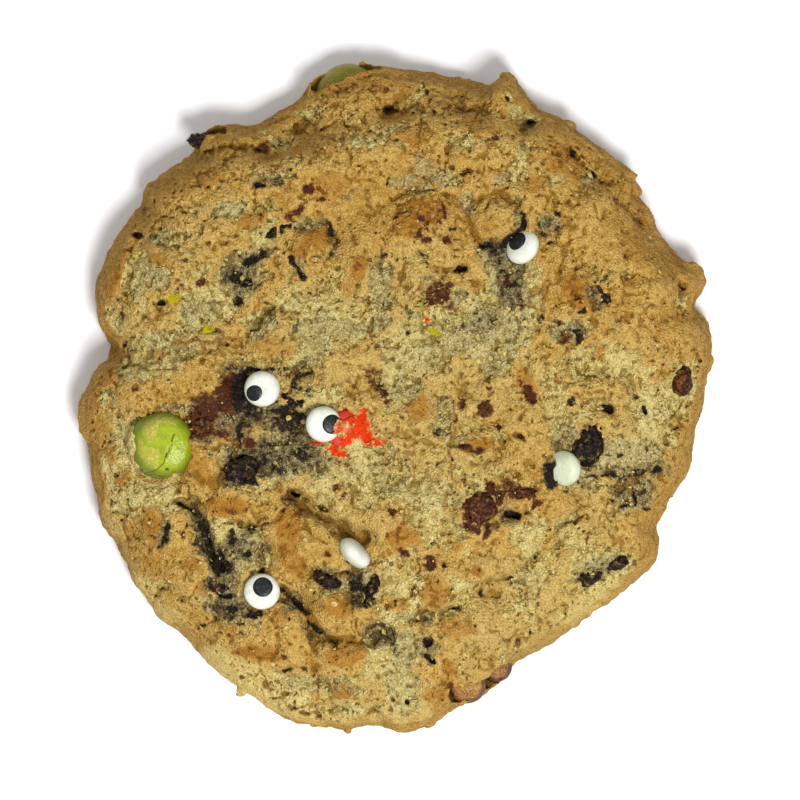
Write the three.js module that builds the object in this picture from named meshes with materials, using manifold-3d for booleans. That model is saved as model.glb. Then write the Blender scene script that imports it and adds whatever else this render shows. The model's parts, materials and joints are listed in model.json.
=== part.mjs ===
// A giant monster cookie: a thick, craggy drop cookie with candy eyes, candy shells and dark
// chocolate pieces pressed into its top. Millimetres, +Z up; the flat baked base lies on z = 0
// and the origin is under the middle of the cookie.
import * as THREE from 'three';
import { mergeVertices } from 'three/addons/utils/BufferGeometryUtils.js';
import Module from 'manifold-3d';

const wasm = await Module();
wasm.setup();

// ---------------------------------------------------------------- driving sizes

const SEED = 41;

const CROWN_HEIGHT = 20.0; // top crust above the base, before mounds and cracks
const CROWN_DOME = 2.2; // how much higher the crust stands in the middle
const RIM_HEIGHT = 6.0; // height at which the outline is widest
const SHOULDER_WIDTH = 16; // from the outline in to the crown
const SHOULDER_ROUNDNESS = 1.9; // 2 is an ellipse, more is squarer
const FOOT_INSET = 3.4; // the base is this much smaller than the outline all round
const FOOT_SMOOTHING = 8; // degrees over which bays and horns even out towards the base

const RINGS = 29; // rings of the top; ring k has 6 k points
const RING_CROWDING = 1.25; // above 1 the rings lie closer together at the rim
const OUTLINE_SAMPLES = 1440;

const EYE = { radius: 3.5, halfHeight: 1.75, squareness: 0.55, sides: 14, steps: 6 };
const PUPIL = { halfHeight: 0.5, squareness: 0.5, sides: 10, steps: 4 };
const LENTIL = { radius: 6.6, halfHeight: 3.3, squareness: 0.85, sides: 15, steps: 6 };
const SMALL_LENTIL = { ...LENTIL, sides: 10, steps: 5 };
const FIT_GAP = 0.3; // between a topping and the pocket it sits in

// ---------------------------------------------------------------- outline of the dough

// Seen from above, clockwise from the top edge: bays, lobes and the two small horns of dough.
const OUTLINE = [
  [-18.3, 59.6], [-15.6, 62.0], [-10.1, 64.6], [-3.5, 66.0], [1.9, 64.9], [11.9, 63.4],
  [19.1, 61.8], [20.5, 63.2], [21.7, 65.2], [22.7, 65.3], [23.7, 63.8], [25.3, 61.2],
  [27.9, 58.2], [31.3, 56.4], [35.1, 54.8], [36.7, 52.5], [40.3, 50.2], [46.3, 45.8],
  [48.3, 43.8], [47.1, 42.4], [48.1, 40.2], [50.7, 36.4], [56.3, 28.2], [58.9, 26.5],
  [60.3, 26.6], [61.8, 24.6], [62.1, 21.4], [59.6, 17.4], [61.3, 15.4], [63.5, 9.6],
  [62.1, 1.4], [59.6, -8.0], [58.5, -11.2], [58.8, -13.6], [54.5, -21.0], [52.4, -26.6],
  [52.7, -30.2], [51.3, -33.8], [43.5, -40.0], [32.9, -47.8], [27.5, -51.8], [24.7, -52.6],
  [22.3, -56.0], [17.7, -59.2], [11.9, -62.0], [6.5, -66.2], [0.5, -67.4], [-3.3, -65.6],
  [-9.7, -67.2], [-19.1, -65.2], [-28.7, -60.2], [-35.3, -55.4], [-41.9, -47.6],
  [-48.5, -43.0], [-52.1, -38.6], [-56.1, -29.6], [-58.3, -26.4], [-60.3, -17.2],
  [-61.6, -9.6], [-63.3, -7.2], [-63.6, -4.2], [-62.8, 0.8], [-60.5, 6.0], [-56.5, 9.8],
  [-59.3, 14.2], [-60.1, 20.4], [-56.9, 29.4], [-52.9, 35.8], [-50.2, 37.4], [-49.9, 42.0],
  [-41.3, 48.0], [-36.1, 53.4], [-29.9, 54.0], [-23.5, 56.4],
];
const CRAG_DEPTH = 0.35; // fine unevenness of the outline

// ---------------------------------------------------------------- relief of the crust

// Rounded lumps of dough: place, half sizes across, turn in degrees, rise.
const MOUNDS = [
  { at: [4.9, 33.8], half: [5.4, 7.2], turn: 12, rise: 1.7 },
  { at: [19.9, 35.0], half: [4.0, 3.6], turn: 20, rise: 1.6 },
  { at: [35.9, 21.4], half: [2.9, 4.4], turn: 15, rise: 1.7 },
  { at: [-18.1, 30.4], half: [4.6, 3.4], turn: 20, rise: 1.1 },
  { at: [-6.7, 26.4], half: [3.3, 4.3], turn: 0, rise: 1.3 },
  { at: [36.5, 40.4], half: [8.0, 12.0], turn: 42, rise: 1.2 },
  { at: [49.0, 22.0], half: [7.0, 9.5], turn: 20, rise: 1.2 },
  { at: [4.3, -2.6], half: [2.7, 3.3], turn: 0, rise: 0.9 },
  { at: [16.9, -9.6], half: [4.2, 3.1], turn: 10, rise: 1.1 },
  { at: [-48.1, -26.6], half: [2.4, 4.6], turn: 10, rise: 1.3 },
  { at: [-41.9, -36.0], half: [4.3, 4.2], turn: 0, rise: 1.5 },
  { at: [-28.1, -49.6], half: [4.4, 4.0], turn: 30, rise: 1.2 },
  { at: [-22.7, -45.0], half: [4.1, 3.2], turn: 0, rise: 1.3 },
  { at: [-11.7, -42.6], half: [3.6, 4.4], turn: 0, rise: 1.4 },
  { at: [-16.6, -30.8], half: [5.6, 8.6], turn: 20, rise: 1.6 },
  { at: [-31.7, -21.4], half: [4.7, 3.0], turn: 0, rise: 1.1 },
  { at: [-9.1, -52.8], half: [5.0, 3.4], turn: 10, rise: 1.3 },
  { at: [-10.1, -59.0], half: [3.1, 2.8], turn: 0, rise: 1.2 },
  { at: [10.9, -48.0], half: [4.2, 4.8], turn: 0, rise: 1.3 },
  { at: [-23.1, 9.4], half: [5.0, 3.0], turn: 0, rise: 0.9 },
  { at: [2.9, -34.6], half: [6.0, 7.6], turn: 10, rise: 0.9 },
  { at: [8.3, -61.0], half: [3.8, 3.6], turn: 0, rise: 1.2 },
  { at: [-55.9, 25.4], half: [3.0, 7.4], turn: -20, rise: 1.9 },
  { at: [-34.0, 41.5], half: [7.0, 4.6], turn: 20, rise: 0.9 },
  { at: [-11.0, 46.5], half: [9.0, 4.2], turn: 8, rise: 0.9 },
  { at: [18.0, 48.0], half: [8.5, 4.6], turn: -12, rise: 0.9 },
  { at: [46.0, 4.0], half: [5.5, 7.5], turn: 0, rise: 0.8 },
  { at: [33.0, 4.0], half: [6.0, 5.0], turn: 0, rise: 0.6 },
  { at: [46.5, -24.5], half: [5.4, 4.2], turn: -35, rise: 1.0 },
  { at: [27.5, -43.0], half: [6.5, 4.0], turn: 35, rise: 0.9 },
  { at: [-50.5, 4.5], half: [5.0, 4.0], turn: 20, rise: 1.0 },
  { at: [22.4, 61.2], half: [1.9, 3.4], turn: 0, rise: 1.8 },
];

// Hollows: the same, sinking below the crust.
const HOLLOWS = [
  { at: [-19.1, 54.2], half: [4.2, 2.6], turn: 25, sink: 2.2 },
  { at: [-1.1, 57.4], half: [2.8, 1.6], turn: 0, sink: 2.8 },
  { at: [26.3, 54.2], half: [1.9, 1.7], turn: 0, sink: 2.2 },
  { at: [42.4, -2.0], half: [1.9, 1.5], turn: 10, sink: 1.8 },
  { at: [23.5, -23.8], half: [2.0, 1.4], turn: 0, sink: 2.6 },
  { at: [-3.3, -47.2], half: [3.0, 2.4], turn: 0, sink: 3.2 },
  { at: [12.1, -42.2], half: [2.2, 1.2], turn: 15, sink: 2.0 },
  { at: [-30.4, 24.6], half: [3.6, 3.4], turn: 0, sink: 1.5 },
  { at: [-24.0, -3.0], half: [10.0, 8.0], turn: -20, sink: 1.3 },
  { at: [12.0, 3.0], half: [13.0, 12.0], turn: 0, sink: 0.9 },
  { at: [44.0, -17.0], half: [9.0, 5.5], turn: 15, sink: 1.2 },
  { at: [-46.5, 9.0], half: [6.0, 3.4], turn: 15, sink: 1.2 },
];

// Broad valleys between the crown and the lower outer rim.
const VALLEYS = [
  { route: [[-50.1, 32.4], [-51.7, 28.4], [-53.2, 24.0], [-55.1, 15.4]], half: 2.0, sink: 2.4 },
  { route: [[-47.1, 36.4], [-43.1, 38.0], [-39.1, 35.8]], half: 1.5, sink: 1.3 },
  { route: [[-41.1, 47.4], [-34.7, 49.4], [-25.1, 49.6]], half: 2.0, sink: 2.0 },
  {
    route: [[-25.1, 49.4], [-13.1, 53.8], [0.9, 56.4], [10.9, 57.8], [24.9, 55.0]],
    half: 2.4,
    sink: 2.2,
  },
  { route: [[-27.0, 53.0], [-13.0, 58.0], [0.9, 60.0], [12.0, 60.4]], half: 5.0, sink: 2.6 },
  {
    route: [[35.3, 48.4], [39.9, 45.0], [43.3, 40.2], [48.3, 35.8], [52.9, 29.4], [57.3, 21.6]],
    half: 2.0,
    sink: 2.2,
  },
  { route: [[60.0, 17.4], [56.9, 17.7], [53.4, 18.6]], half: 1.4, sink: 2.6 },
  { route: [[-57.0, 9.8], [-53.6, 10.6], [-50.0, 12.6]], half: 1.6, sink: 2.0 },
  { route: [[-52.0, -13.0], [-48.0, -17.6], [-41.0, -18.6]], half: 1.8, sink: 1.3 },
];

// Narrow cracks in the crust.
const CRACKS = [
  { route: [[-20.1, -19.6], [-15.1, -23.0], [-12.1, -24.6], [-6.1, -28.0]], half: 1.3, sink: 3.8 },
  { route: [[-31.1, -25.6], [-26.1, -24.6], [-22.1, -20.6]], half: 1.1, sink: 2.4 },
  { route: [[-26.7, -27.6], [-26.7, -35.6]], half: 1.1, sink: 2.4 },
  {
    route: [[-42.1, -20.6], [-39.1, -22.6], [-38.5, -26.6], [-37.5, -29.6], [-35.1, -33.0]],
    half: 1.2,
    sink: 3.0,
  },
  {
    route: [[-22.1, -37.6], [-20.5, -40.0], [-17.0, -42.6], [-17.5, -45.6], [-13.1, -48.6],
      [-6.7, -48.0]],
    half: 1.2,
    sink: 3.2,
  },
  { route: [[-16.7, -48.6], [-15.7, -53.0], [-15.1, -56.6]], half: 1.1, sink: 2.4 },
  { route: [[-0.1, 38.4], [2.9, 40.4], [9.9, 41.0]], half: 1.0, sink: 1.5 },
  { route: [[9.9, 40.4], [13.3, 38.8], [14.9, 34.4], [16.5, 31.4]], half: 1.0, sink: 1.9 },
  { route: [[16.9, 39.4], [20.3, 41.4], [23.9, 38.4]], half: 1.0, sink: 1.5 },
  { route: [[4.9, 29.0], [7.3, 26.8], [9.9, 26.4]], half: 1.0, sink: 1.6 },
  { route: [[-36.1, 9.0], [-34.1, 10.6], [-30.1, 10.0]], half: 1.0, sink: 1.8 },
  { route: [[-29.1, 12.4], [-26.7, 15.4], [-25.1, 17.6], [-21.1, 15.8]], half: 1.1, sink: 1.9 },
  { route: [[44.9, 23.4], [53.9, 23.4]], half: 0.9, sink: 1.2 },
  { route: [[22.9, -8.6], [20.3, -11.0], [19.9, -13.2], [14.9, -13.6]], half: 0.9, sink: 1.5 },
  { route: [[24.9, -38.6], [26.5, -43.6]], half: 1.0, sink: 1.7 },
];

// A fault low on the right: the crust south-east of it has slipped down.
const FAULT = {
  route: [[9.9, -40.6], [13.9, -38.2], [22.9, -35.0], [26.9, -32.2], [32.9, -25.0]],
  drop: 2.0,
  reach: 9,
};

// Unevenness of the crumb: lump size across and height, from coarse to fine.
const LUMPS = [
  { across: 15, height: 0.8 },
  { across: 6.5, height: 1.0 },
  { across: 3.3, height: 0.6 },
];
// Winding creases where the crust has torn while it rose.
const CREASES = { across: 13, width: 0.17, sink: 1.4 };
const SIDE_LUMPS = { across: 5.5, height: 1.1 };

// ---------------------------------------------------------------- toppings

// Candy eyes: lift is how far the middle lies above the crust, and lean is the bearing in
// degrees from +X and the degrees from upright.
const EYES = [
  { name: 'eye_1', at: [25.3, 29.8], lift: 0.7, lean: [140, 48], pupil: [-0.2, 0.4, 1.9] },
  { name: 'eye_2', at: [-26.5, 1.6], lift: 0.8, lean: [205, 18], pupil: [-1.0, -0.6, 1.7] },
  { name: 'eye_3', at: [-14.3, -5.4], lift: 1.0, lean: [0, 16], pupil: [1.2, 0.0, 1.9] },
  { name: 'eye_4', at: [33.5, -14.2], lift: 0.6, lean: [200, 30] },
  { name: 'eye_5', at: [-8.1, -31.0], lift: 0.9, lean: [45, 78] },
  { name: 'eye_6', at: [-26.5, -38.6], lift: 0.8, lean: [90, 14], pupil: [0.2, 0.5, 1.9] },
];

// Candy lentils. z is given where one hangs in the rim, and colour is that of its shell.
const LENTILS = [
  { name: 'green_candy_left', colour: 0x9fb41e, at: [-46.6, -9.6], lift: -0.7, lean: [190, 12] },
  { name: 'green_candy_top', colour: 0x8fa51f, at: [-9.5, 60.4], z: 7.6, lean: [118, 12] },
  {
    name: 'red_candy', colour: 0xd9481c, at: [-9.8, -7.0], lift: -1.6, lean: [300, 8],
    radius: 4.9, halfHeight: 2.3,
  },
  {
    name: 'pink_candy_upper', colour: 0xd06a9a, at: [40.9, 46.3], z: 6.6, lean: [45, 15],
    radius: 3.4, halfHeight: 2.0,
  },
  {
    name: 'pink_candy_lower', colour: 0xc9628f, at: [48.3, 35.2], z: 5.8, lean: [35, 15],
    radius: 3.4, halfHeight: 2.0,
  },
  {
    name: 'brown_candy', colour: 0x7a4a22, at: [14.3, -57.7], z: 11.6, lean: [290, 16],
    radius: 3.9, halfHeight: 2.4,
  },
  {
    name: 'brown_candy_right', colour: 0x7a4a22, at: [20.2, -54.0], z: 7.4, lean: [300, 12],
    radius: 3.4, halfHeight: 2.0,
  },
];

// Chocolate pieces: half sizes along, across and down, turn about +Z in degrees.
const CHUNKS = [
  { name: 'chunk_rim', at: [-38.6, 51.6], z: 9.4, half: [3.6, 1.9, 1.9], turn: 8 },
  { name: 'chunk_right', at: [57.0, 3.4], z: 14.6, half: [2.6, 3.6, 2.2], turn: -10, red: true },
  { name: 'chunk_by_eye', at: [38.3, -9.6], half: [3.2, 5.2, 2.6], turn: -20 },
  { name: 'chunk_block', at: [-38.7, -5.8], half: [3.0, 2.3, 2.2], turn: -8, red: true },
  { name: 'chunk_dark_pool', at: [-30.6, -14.2], half: [4.0, 3.0, 2.4], turn: 15 },
  { name: 'chunk_between', at: [-20.6, -0.6], half: [2.9, 1.9, 1.9], turn: -25 },
  { name: 'chunk_fudge', at: [16.9, -22.2], half: [3.8, 3.4, 2.0], turn: 30, red: true },
  { name: 'chunk_fudge_tail', at: [24.9, -19.4], half: [3.6, 1.7, 1.7], turn: -10, red: true },
  { name: 'chunk_low_right', at: [38.5, -36.0], half: [2.9, 1.9, 1.9], turn: 15 },
  { name: 'chunk_low_far', at: [44.2, -33.0], half: [2.7, 1.6, 1.6], turn: 20 },
  { name: 'chunk_slice', at: [-22.7, 33.4], half: [3.9, 1.4, 1.8], turn: 24 },
  { name: 'chunk_slot', at: [40.9, 20.6], half: [4.4, 1.5, 1.9], turn: -56 },
  { name: 'chunk_low_left', at: [-34.2, -37.6], half: [3.0, 2.6, 2.0], turn: 0 },
  { name: 'chunk_tongue', at: [-13.7, -36.4], half: [3.5, 1.8, 1.8], turn: -22 },
  { name: 'chunk_middle_low', at: [-4.9, -38.6], half: [3.8, 1.6, 1.8], turn: 72 },
  { name: 'chunk_top', at: [13.7, 45.2], half: [2.7, 1.5, 1.6], turn: 0, red: true },
];
const CHUNK_SQUARENESS = 0.35; // 1 is an ellipsoid, less is blockier
const CHUNK_RAGGEDNESS = 0.12;
const CHUNK_SHOWS = 0.4; // of the half depth, how far a chunk's middle lies under the crust

// ---------------------------------------------------------------- finishes

const FINISH = {
  dough: { color: 0xc19a5b, roughness: 0.9 },
  sugar: { color: 0xf0f1e6, roughness: 0.35 },
  pupil: { color: 0x16191b, roughness: 0.3 },
  dark: { color: 0x2c1b14, roughness: 0.45 },
  red: { color: 0x6a3218, roughness: 0.5 },
};
const finish = (look) => new THREE.MeshStandardMaterial({ metalness: 0, ...look });

// ---------------------------------------------------------------- small mathematics

const radians = THREE.MathUtils.degToRad;

/** A fixed pseudo-random number from 0 to 1 for two whole numbers. */
function lattice(i, j, layer) {
  let h = Math.imul(i, 374761393) + Math.imul(j, 668265263) + Math.imul(layer + SEED, 974634777);
  h = Math.imul(h ^ (h >>> 13), 1274126177);
  return ((h ^ (h >>> 16)) >>> 0) / 4294967295;
}

/** Smooth noise from -1 to 1 whose lumps are `across` wide. */
function unevenness(x, y, across, layer) {
  const [i, j] = [Math.floor(x / across), Math.floor(y / across)];
  const u = THREE.MathUtils.smoothstep(x / across - i, 0, 1);
  const v = THREE.MathUtils.smoothstep(y / across - j, 0, 1);
  const low = THREE.MathUtils.lerp(lattice(i, j, layer), lattice(i + 1, j, layer), u);
  const high = THREE.MathUtils.lerp(lattice(i, j + 1, layer), lattice(i + 1, j + 1, layer), u);
  return 2 * THREE.MathUtils.lerp(low, high, v) - 1;
}

/** Distance from a point to a route, and the side it lies on (+1 is left of the route). */
function fromRoute(x, y, route) {
  let best = { distance: Infinity, side: 1 };
  for (let n = 0; n + 1 < route.length; n += 1) {
    const [[ax, ay], [bx, by]] = [route[n], route[n + 1]];
    const [dx, dy] = [bx - ax, by - ay];
    const along = ((x - ax) * dx + (y - ay) * dy) / (dx * dx + dy * dy);
    const t = THREE.MathUtils.clamp(along, 0, 1);
    const distance = Math.hypot(x - ax - t * dx, y - ay - t * dy);
    if (distance < best.distance) {
      best = { distance, side: Math.sign(dx * (y - ay) - dy * (x - ax)) || 1 };
    }
  }
  return best;
}

/** 1 in the middle of an oval, 0 at its edge and beyond. */
function inOval(x, y, { at, half, turn }) {
  const [c, s] = [Math.cos(radians(turn)), Math.sin(radians(turn))];
  const [dx, dy] = [x - at[0], y - at[1]];
  const square = ((c * dx + s * dy) / half[0]) ** 2 + ((c * dy - s * dx) / half[1]) ** 2;
  return square < 2.25 ? (1 - square / 2.25) ** 2 : 0;
}

// ---------------------------------------------------------------- dough

/** The outline as directions and radii, in order of direction, from a closed curve. */
const REACH = (() => {
  const points = OUTLINE.map(([x, y]) => new THREE.Vector3(x, y, 0));
  const curve = new THREE.CatmullRomCurve3(points, true, 'centripetal');
  return curve
    .getSpacedPoints(OUTLINE_SAMPLES)
    .map((p) => ({ angle: Math.atan2(p.y, p.x), radius: Math.hypot(p.x, p.y) }))
    .sort((a, b) => a.angle - b.angle);
})();

/** The outline's radius in a direction. */
function outlineRadius(angle) {
  const turned = Math.atan2(Math.sin(angle), Math.cos(angle));
  const n = Math.max(0, REACH.findIndex((sample) => sample.angle >= turned));
  const before = REACH[(n + REACH.length - 1) % REACH.length];
  const crag = unevenness(40 * Math.cos(angle), 40 * Math.sin(angle), 2.4, 9) * CRAG_DEPTH;
  return (REACH[n].radius + before.radius) / 2 + crag;
}

/** The evened outline that the dough's foot follows. */
function footRadius(angle) {
  const spread = radians(FOOT_SMOOTHING);
  const turns = [-1, -0.5, 0, 0.5, 1];
  return turns.reduce((sum, t) => sum + outlineRadius(angle + t * spread), 0) / turns.length;
}

/** Height of the crust above the base at a point of the plan. */
function crustHeight(x, y) {
  const radius = Math.hypot(x, y);
  const rim = outlineRadius(Math.atan2(y, x));
  const inward = THREE.MathUtils.clamp((rim - radius) / SHOULDER_WIDTH, 0, 1);
  const shoulder = (1 - (1 - inward) ** SHOULDER_ROUNDNESS) ** (1 / SHOULDER_ROUNDNESS);
  let height = RIM_HEIGHT + (CROWN_HEIGHT - RIM_HEIGHT) * shoulder;
  height += CROWN_DOME * Math.max(0, 1 - (radius / rim) ** 2);

  const onTop = Math.min(1, 0.15 + shoulder); // relief fades out down the side
  let relief = 0;
  for (const mound of MOUNDS) relief += mound.rise * inOval(x, y, mound);
  for (const hollow of HOLLOWS) relief -= hollow.sink * inOval(x, y, hollow);
  for (const groove of [...VALLEYS, ...CRACKS]) {
    const { distance } = fromRoute(x, y, groove.route);
    relief -= groove.sink * Math.exp(-((distance / groove.half) ** 2));
  }
  const fault = fromRoute(x, y, FAULT.route);
  if (fault.side < 0) relief -= FAULT.drop * Math.exp(-((fault.distance / FAULT.reach) ** 2));
  LUMPS.forEach(({ across, height: rise }, layer) => {
    relief += rise * unevenness(x, y, across, layer);
  });
  const tear = unevenness(x, y, CREASES.across, LUMPS.length);
  relief -= CREASES.sink * Math.exp(-((tear / CREASES.width) ** 2));
  return height + relief * onTop;
}

/** The dough's side under the outline, from the widest line down to the base. */
const SIDE_LEVELS = [
  { up: 0.66, inset: 0.15 },
  { up: 0.34, inset: 0.9 },
  { up: 0.1, inset: 2.1 },
  { up: 0, inset: FOOT_INSET },
];

/** One closed mesh: rings over the top, levels down the side, a flat fan under it. */
function makeDough() {
  const positions = [];
  const faces = [];
  const point = (x, y, z) => positions.push(x, y, z) / 3 - 1;

  const ringStart = (k) => (k === 0 ? 0 : 1 + 3 * k * (k - 1));
  point(0, 0, crustHeight(0, 0));
  for (let k = 1; k <= RINGS; k += 1) {
    const share = 1 - (1 - k / RINGS) ** RING_CROWDING;
    for (let j = 0; j < 6 * k; j += 1) {
      const angle = (2 * Math.PI * j) / (6 * k);
      const radius = share * outlineRadius(angle);
      const [x, y] = [radius * Math.cos(angle), radius * Math.sin(angle)];
      point(x, y, crustHeight(x, y));
    }
  }
  const onRing = (k, j) => (k === 0 ? 0 : ringStart(k) + (j % (6 * k)));
  for (let k = 1; k <= RINGS; k += 1) {
    for (let sextant = 0; sextant < 6; sextant += 1) {
      for (let j = 0; j < k; j += 1) {
        const [outer, inner] = [sextant * k + j, sextant * (k - 1) + j];
        faces.push(onRing(k, outer), onRing(k, outer + 1), onRing(k - 1, inner));
        if (j + 1 < k) {
          faces.push(onRing(k - 1, inner), onRing(k, outer + 1), onRing(k - 1, inner + 1));
        }
      }
    }
  }

  const around = 6 * RINGS;
  let above = ringStart(RINGS);
  for (const { up, inset } of SIDE_LEVELS) {
    const start = positions.length / 3;
    for (let j = 0; j < around; j += 1) {
      const angle = (2 * Math.PI * j) / around;
      const height = positions[3 * (ringStart(RINGS) + j) + 2] * up;
      const smooth = THREE.MathUtils.lerp(footRadius(angle), outlineRadius(angle), up);
      const [u, v] = [smooth * Math.cos(angle) + 2 * height, smooth * Math.sin(angle) - height];
      const lump = SIDE_LUMPS.height * unevenness(u, v, SIDE_LUMPS.across, 12) * Math.min(1, 2 * up);
      const radius = smooth - inset + lump;
      point(radius * Math.cos(angle), radius * Math.sin(angle), height);
    }
    for (let j = 0; j < around; j += 1) {
      const next = (j + 1) % around;
      faces.push(above + j, start + j, start + next, above + j, start + next, above + next);
    }
    above = start;
  }
  const middle = point(0, 0, 0);
  for (let j = 0; j < around; j += 1) faces.push(above + ((j + 1) % around), above + j, middle);

  const geometry = new THREE.BufferGeometry();
  geometry.setAttribute('position', new THREE.Float32BufferAttribute(positions, 3));
  geometry.setIndex(faces);
  return geometry;
}

// ---------------------------------------------------------------- topping shapes

/** A pressed sweet, round in plan: low squareness gives a tablet, 1 an ellipsoid. */
function makeTablet({ radius, halfHeight, squareness, sides, steps }, grow = 0) {
  const profile = [];
  for (let n = 0; n <= steps; n += 1) {
    const angle = -Math.PI / 2 + (Math.PI * n) / steps;
    const [c, s] = [Math.cos(angle), Math.sin(angle)];
    const out = n === 0 || n === steps ? 0 : (radius + grow) * c ** squareness;
    profile.push(new THREE.Vector2(out, (halfHeight + grow) * Math.sign(s) * Math.abs(s)));
  }
  return new THREE.LatheGeometry(profile, sides).rotateX(Math.PI / 2);
}

/** A broken block of chocolate: a ball pushed out towards a box, with uneven faces. */
function makeChunk({ half, layer }, grow = 0) {
  const ball = new THREE.IcosahedronGeometry(1, 1);
  const position = ball.getAttribute('position');
  const corner = new THREE.Vector3();
  for (let n = 0; n < position.count; n += 1) {
    corner.fromBufferAttribute(position, n).normalize();
    const ragged = unevenness(3 * corner.x + 5, 3 * corner.y + 7 * corner.z, 1.1, layer);
    corner.set(
      half[0] * Math.sign(corner.x) * Math.abs(corner.x) ** (0.5 + CHUNK_SQUARENESS),
      half[1] * Math.sign(corner.y) * Math.abs(corner.y) ** (0.5 + CHUNK_SQUARENESS),
      half[2] * Math.sign(corner.z) * Math.abs(corner.z) ** (0.5 + CHUNK_SQUARENESS),
    );
    corner.multiplyScalar(1 + CHUNK_RAGGEDNESS * ragged);
    corner.setLength(corner.length() + 1.4 * grow);
    position.setXYZ(n, corner.x, corner.y, corner.z);
  }
  return ball;
}

/** Where a topping stands: upright, then leant towards a bearing, then moved into place. */
function placing({ at, z, lift: rise = 0, lean = [0, 0], turn = 0 }) {
  const bearing = radians(lean[0]);
  const axis = new THREE.Vector3(-Math.sin(bearing), Math.cos(bearing), 0);
  const leaning = new THREE.Quaternion().setFromAxisAngle(axis, radians(lean[1]));
  const turning = new THREE.Quaternion().setFromAxisAngle(new THREE.Vector3(0, 0, 1), radians(turn));
  const place = new THREE.Vector3(at[0], at[1], z ?? crustHeight(at[0], at[1]) + rise);
  return new THREE.Matrix4().compose(place, leaning.multiply(turning), new THREE.Vector3(1, 1, 1));
}

/** Every topping with its shape at a given growth, its place and its finish, eyes first. */
function listToppings() {
  const list = [];
  for (const eye of EYES) {
    const place = placing(eye);
    if (eye.pupil) {
      const [x, y, radius] = eye.pupil;
      const size = { ...PUPIL, radius };
      const onFace = new THREE.Matrix4().makeTranslation(x, y, EYE.halfHeight - 0.12);
      list.push({
        name: eye.name.replace('eye', 'pupil'),
        shape: (grow) => makeTablet(size, grow),
        place: place.clone().multiply(onFace),
        look: FINISH.pupil,
      });
    }
    list.push({ name: eye.name, shape: (grow) => makeTablet(EYE, grow), place, look: FINISH.sugar });
  }
  for (const lentil of LENTILS) {
    const size = { ...(lentil.radius ? SMALL_LENTIL : LENTIL), ...lentil };
    const look = { color: lentil.colour, roughness: 0.3 };
    const shape = (grow) => makeTablet(size, grow);
    list.push({ name: lentil.name, shape, place: placing(lentil), look });
  }
  CHUNKS.forEach((chunk, n) => {
    const sunk = { ...chunk, lift: -CHUNK_SHOWS * chunk.half[2] };
    const shape = (grow) => makeChunk({ ...chunk, layer: 20 + n }, grow);
    list.push({
      name: chunk.name, shape, place: placing(sunk), look: chunk.red ? FINISH.red : FINISH.dark,
    });
  });
  return list;
}

// ---------------------------------------------------------------- cutting

/** A closed solid from a geometry, with its shared corners merged. */
function toSolid(geometry) {
  const bare = geometry.clone();
  bare.deleteAttribute('normal');
  bare.deleteAttribute('uv');
  const merged = mergeVertices(bare, 1e-4);
  return new wasm.Manifold(new wasm.Mesh({
    numProp: 3,
    vertProperties: new Float32Array(merged.getAttribute('position').array),
    triVerts: new Uint32Array(merged.index.array),
  }));
}

/** The geometry of the largest piece of a solid; scraps left by a cut are dropped. */
function toGeometry(solid) {
  const [largest] = solid.decompose().sort((a, b) => b.volume() - a.volume());
  const { vertProperties, triVerts } = largest.getMesh();
  const geometry = new THREE.BufferGeometry();
  geometry.setAttribute('position', new THREE.BufferAttribute(vertProperties, 3));
  geometry.setIndex(new THREE.BufferAttribute(triVerts, 1));
  return geometry;
}

// ---------------------------------------------------------------- assembly

const group = new THREE.Group();
group.name = 'monster_cookie';

/** Adds a named mesh whose geometry is given in the group's frame, at its own place. */
function addPiece(name, geometry, place, look) {
  const mesh = new THREE.Mesh(geometry.applyMatrix4(place.clone().invert()), finish(look));
  mesh.name = name;
  place.decompose(mesh.position, mesh.quaternion, mesh.scale);
  group.add(mesh);
}

const pockets = [];
for (const { name, shape, place, look } of listToppings()) {
  let solid = toSolid(shape(0).applyMatrix4(place));
  for (const pocket of pockets) solid = solid.subtract(pocket);
  addPiece(name, toGeometry(solid), place, look);
  pockets.push(toSolid(shape(FIT_GAP).applyMatrix4(place)));
}

let dough = toSolid(makeDough());
for (const pocket of pockets) dough = dough.subtract(pocket);
addPiece('cookie', toGeometry(dough), new THREE.Matrix4(), FINISH.dough);

export default group;
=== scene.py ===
"""Looks of a giant monster cookie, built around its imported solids.

The dough is grown again from the cookie's own solid as a fine volume, with the torn crust, cracks
and crumb that the solid is too coarse for. Candy, chocolate and loose crumbs are pieces of their
own. Places and sizes in the tables are millimetres from the middle of the cookie, +Y towards the
edge with the half-covered green candy; meshes are in metres.
"""

import json
import logging
import math
from dataclasses import dataclass
from enum import Enum
from itertools import product

import bpy
import numpy as np
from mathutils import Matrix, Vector
from mathutils.bvhtree import BVHTree


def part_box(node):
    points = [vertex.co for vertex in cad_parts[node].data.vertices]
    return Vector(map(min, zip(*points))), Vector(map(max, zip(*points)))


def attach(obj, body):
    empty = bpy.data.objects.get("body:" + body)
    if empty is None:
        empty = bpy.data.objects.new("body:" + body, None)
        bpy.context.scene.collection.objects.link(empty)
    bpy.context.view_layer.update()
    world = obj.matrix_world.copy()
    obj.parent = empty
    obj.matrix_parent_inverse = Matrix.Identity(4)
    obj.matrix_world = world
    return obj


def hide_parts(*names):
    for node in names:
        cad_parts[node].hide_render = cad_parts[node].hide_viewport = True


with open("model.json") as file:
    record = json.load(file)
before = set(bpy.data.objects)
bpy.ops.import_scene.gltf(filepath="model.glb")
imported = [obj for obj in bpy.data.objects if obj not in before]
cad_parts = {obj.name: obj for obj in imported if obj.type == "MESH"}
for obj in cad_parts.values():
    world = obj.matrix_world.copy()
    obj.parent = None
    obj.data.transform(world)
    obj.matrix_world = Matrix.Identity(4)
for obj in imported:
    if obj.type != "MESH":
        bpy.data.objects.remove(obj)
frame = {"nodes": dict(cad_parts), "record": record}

LOG = logging.getLogger("monster_cookie")
MM = 0.001
BODY = "root"
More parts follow.
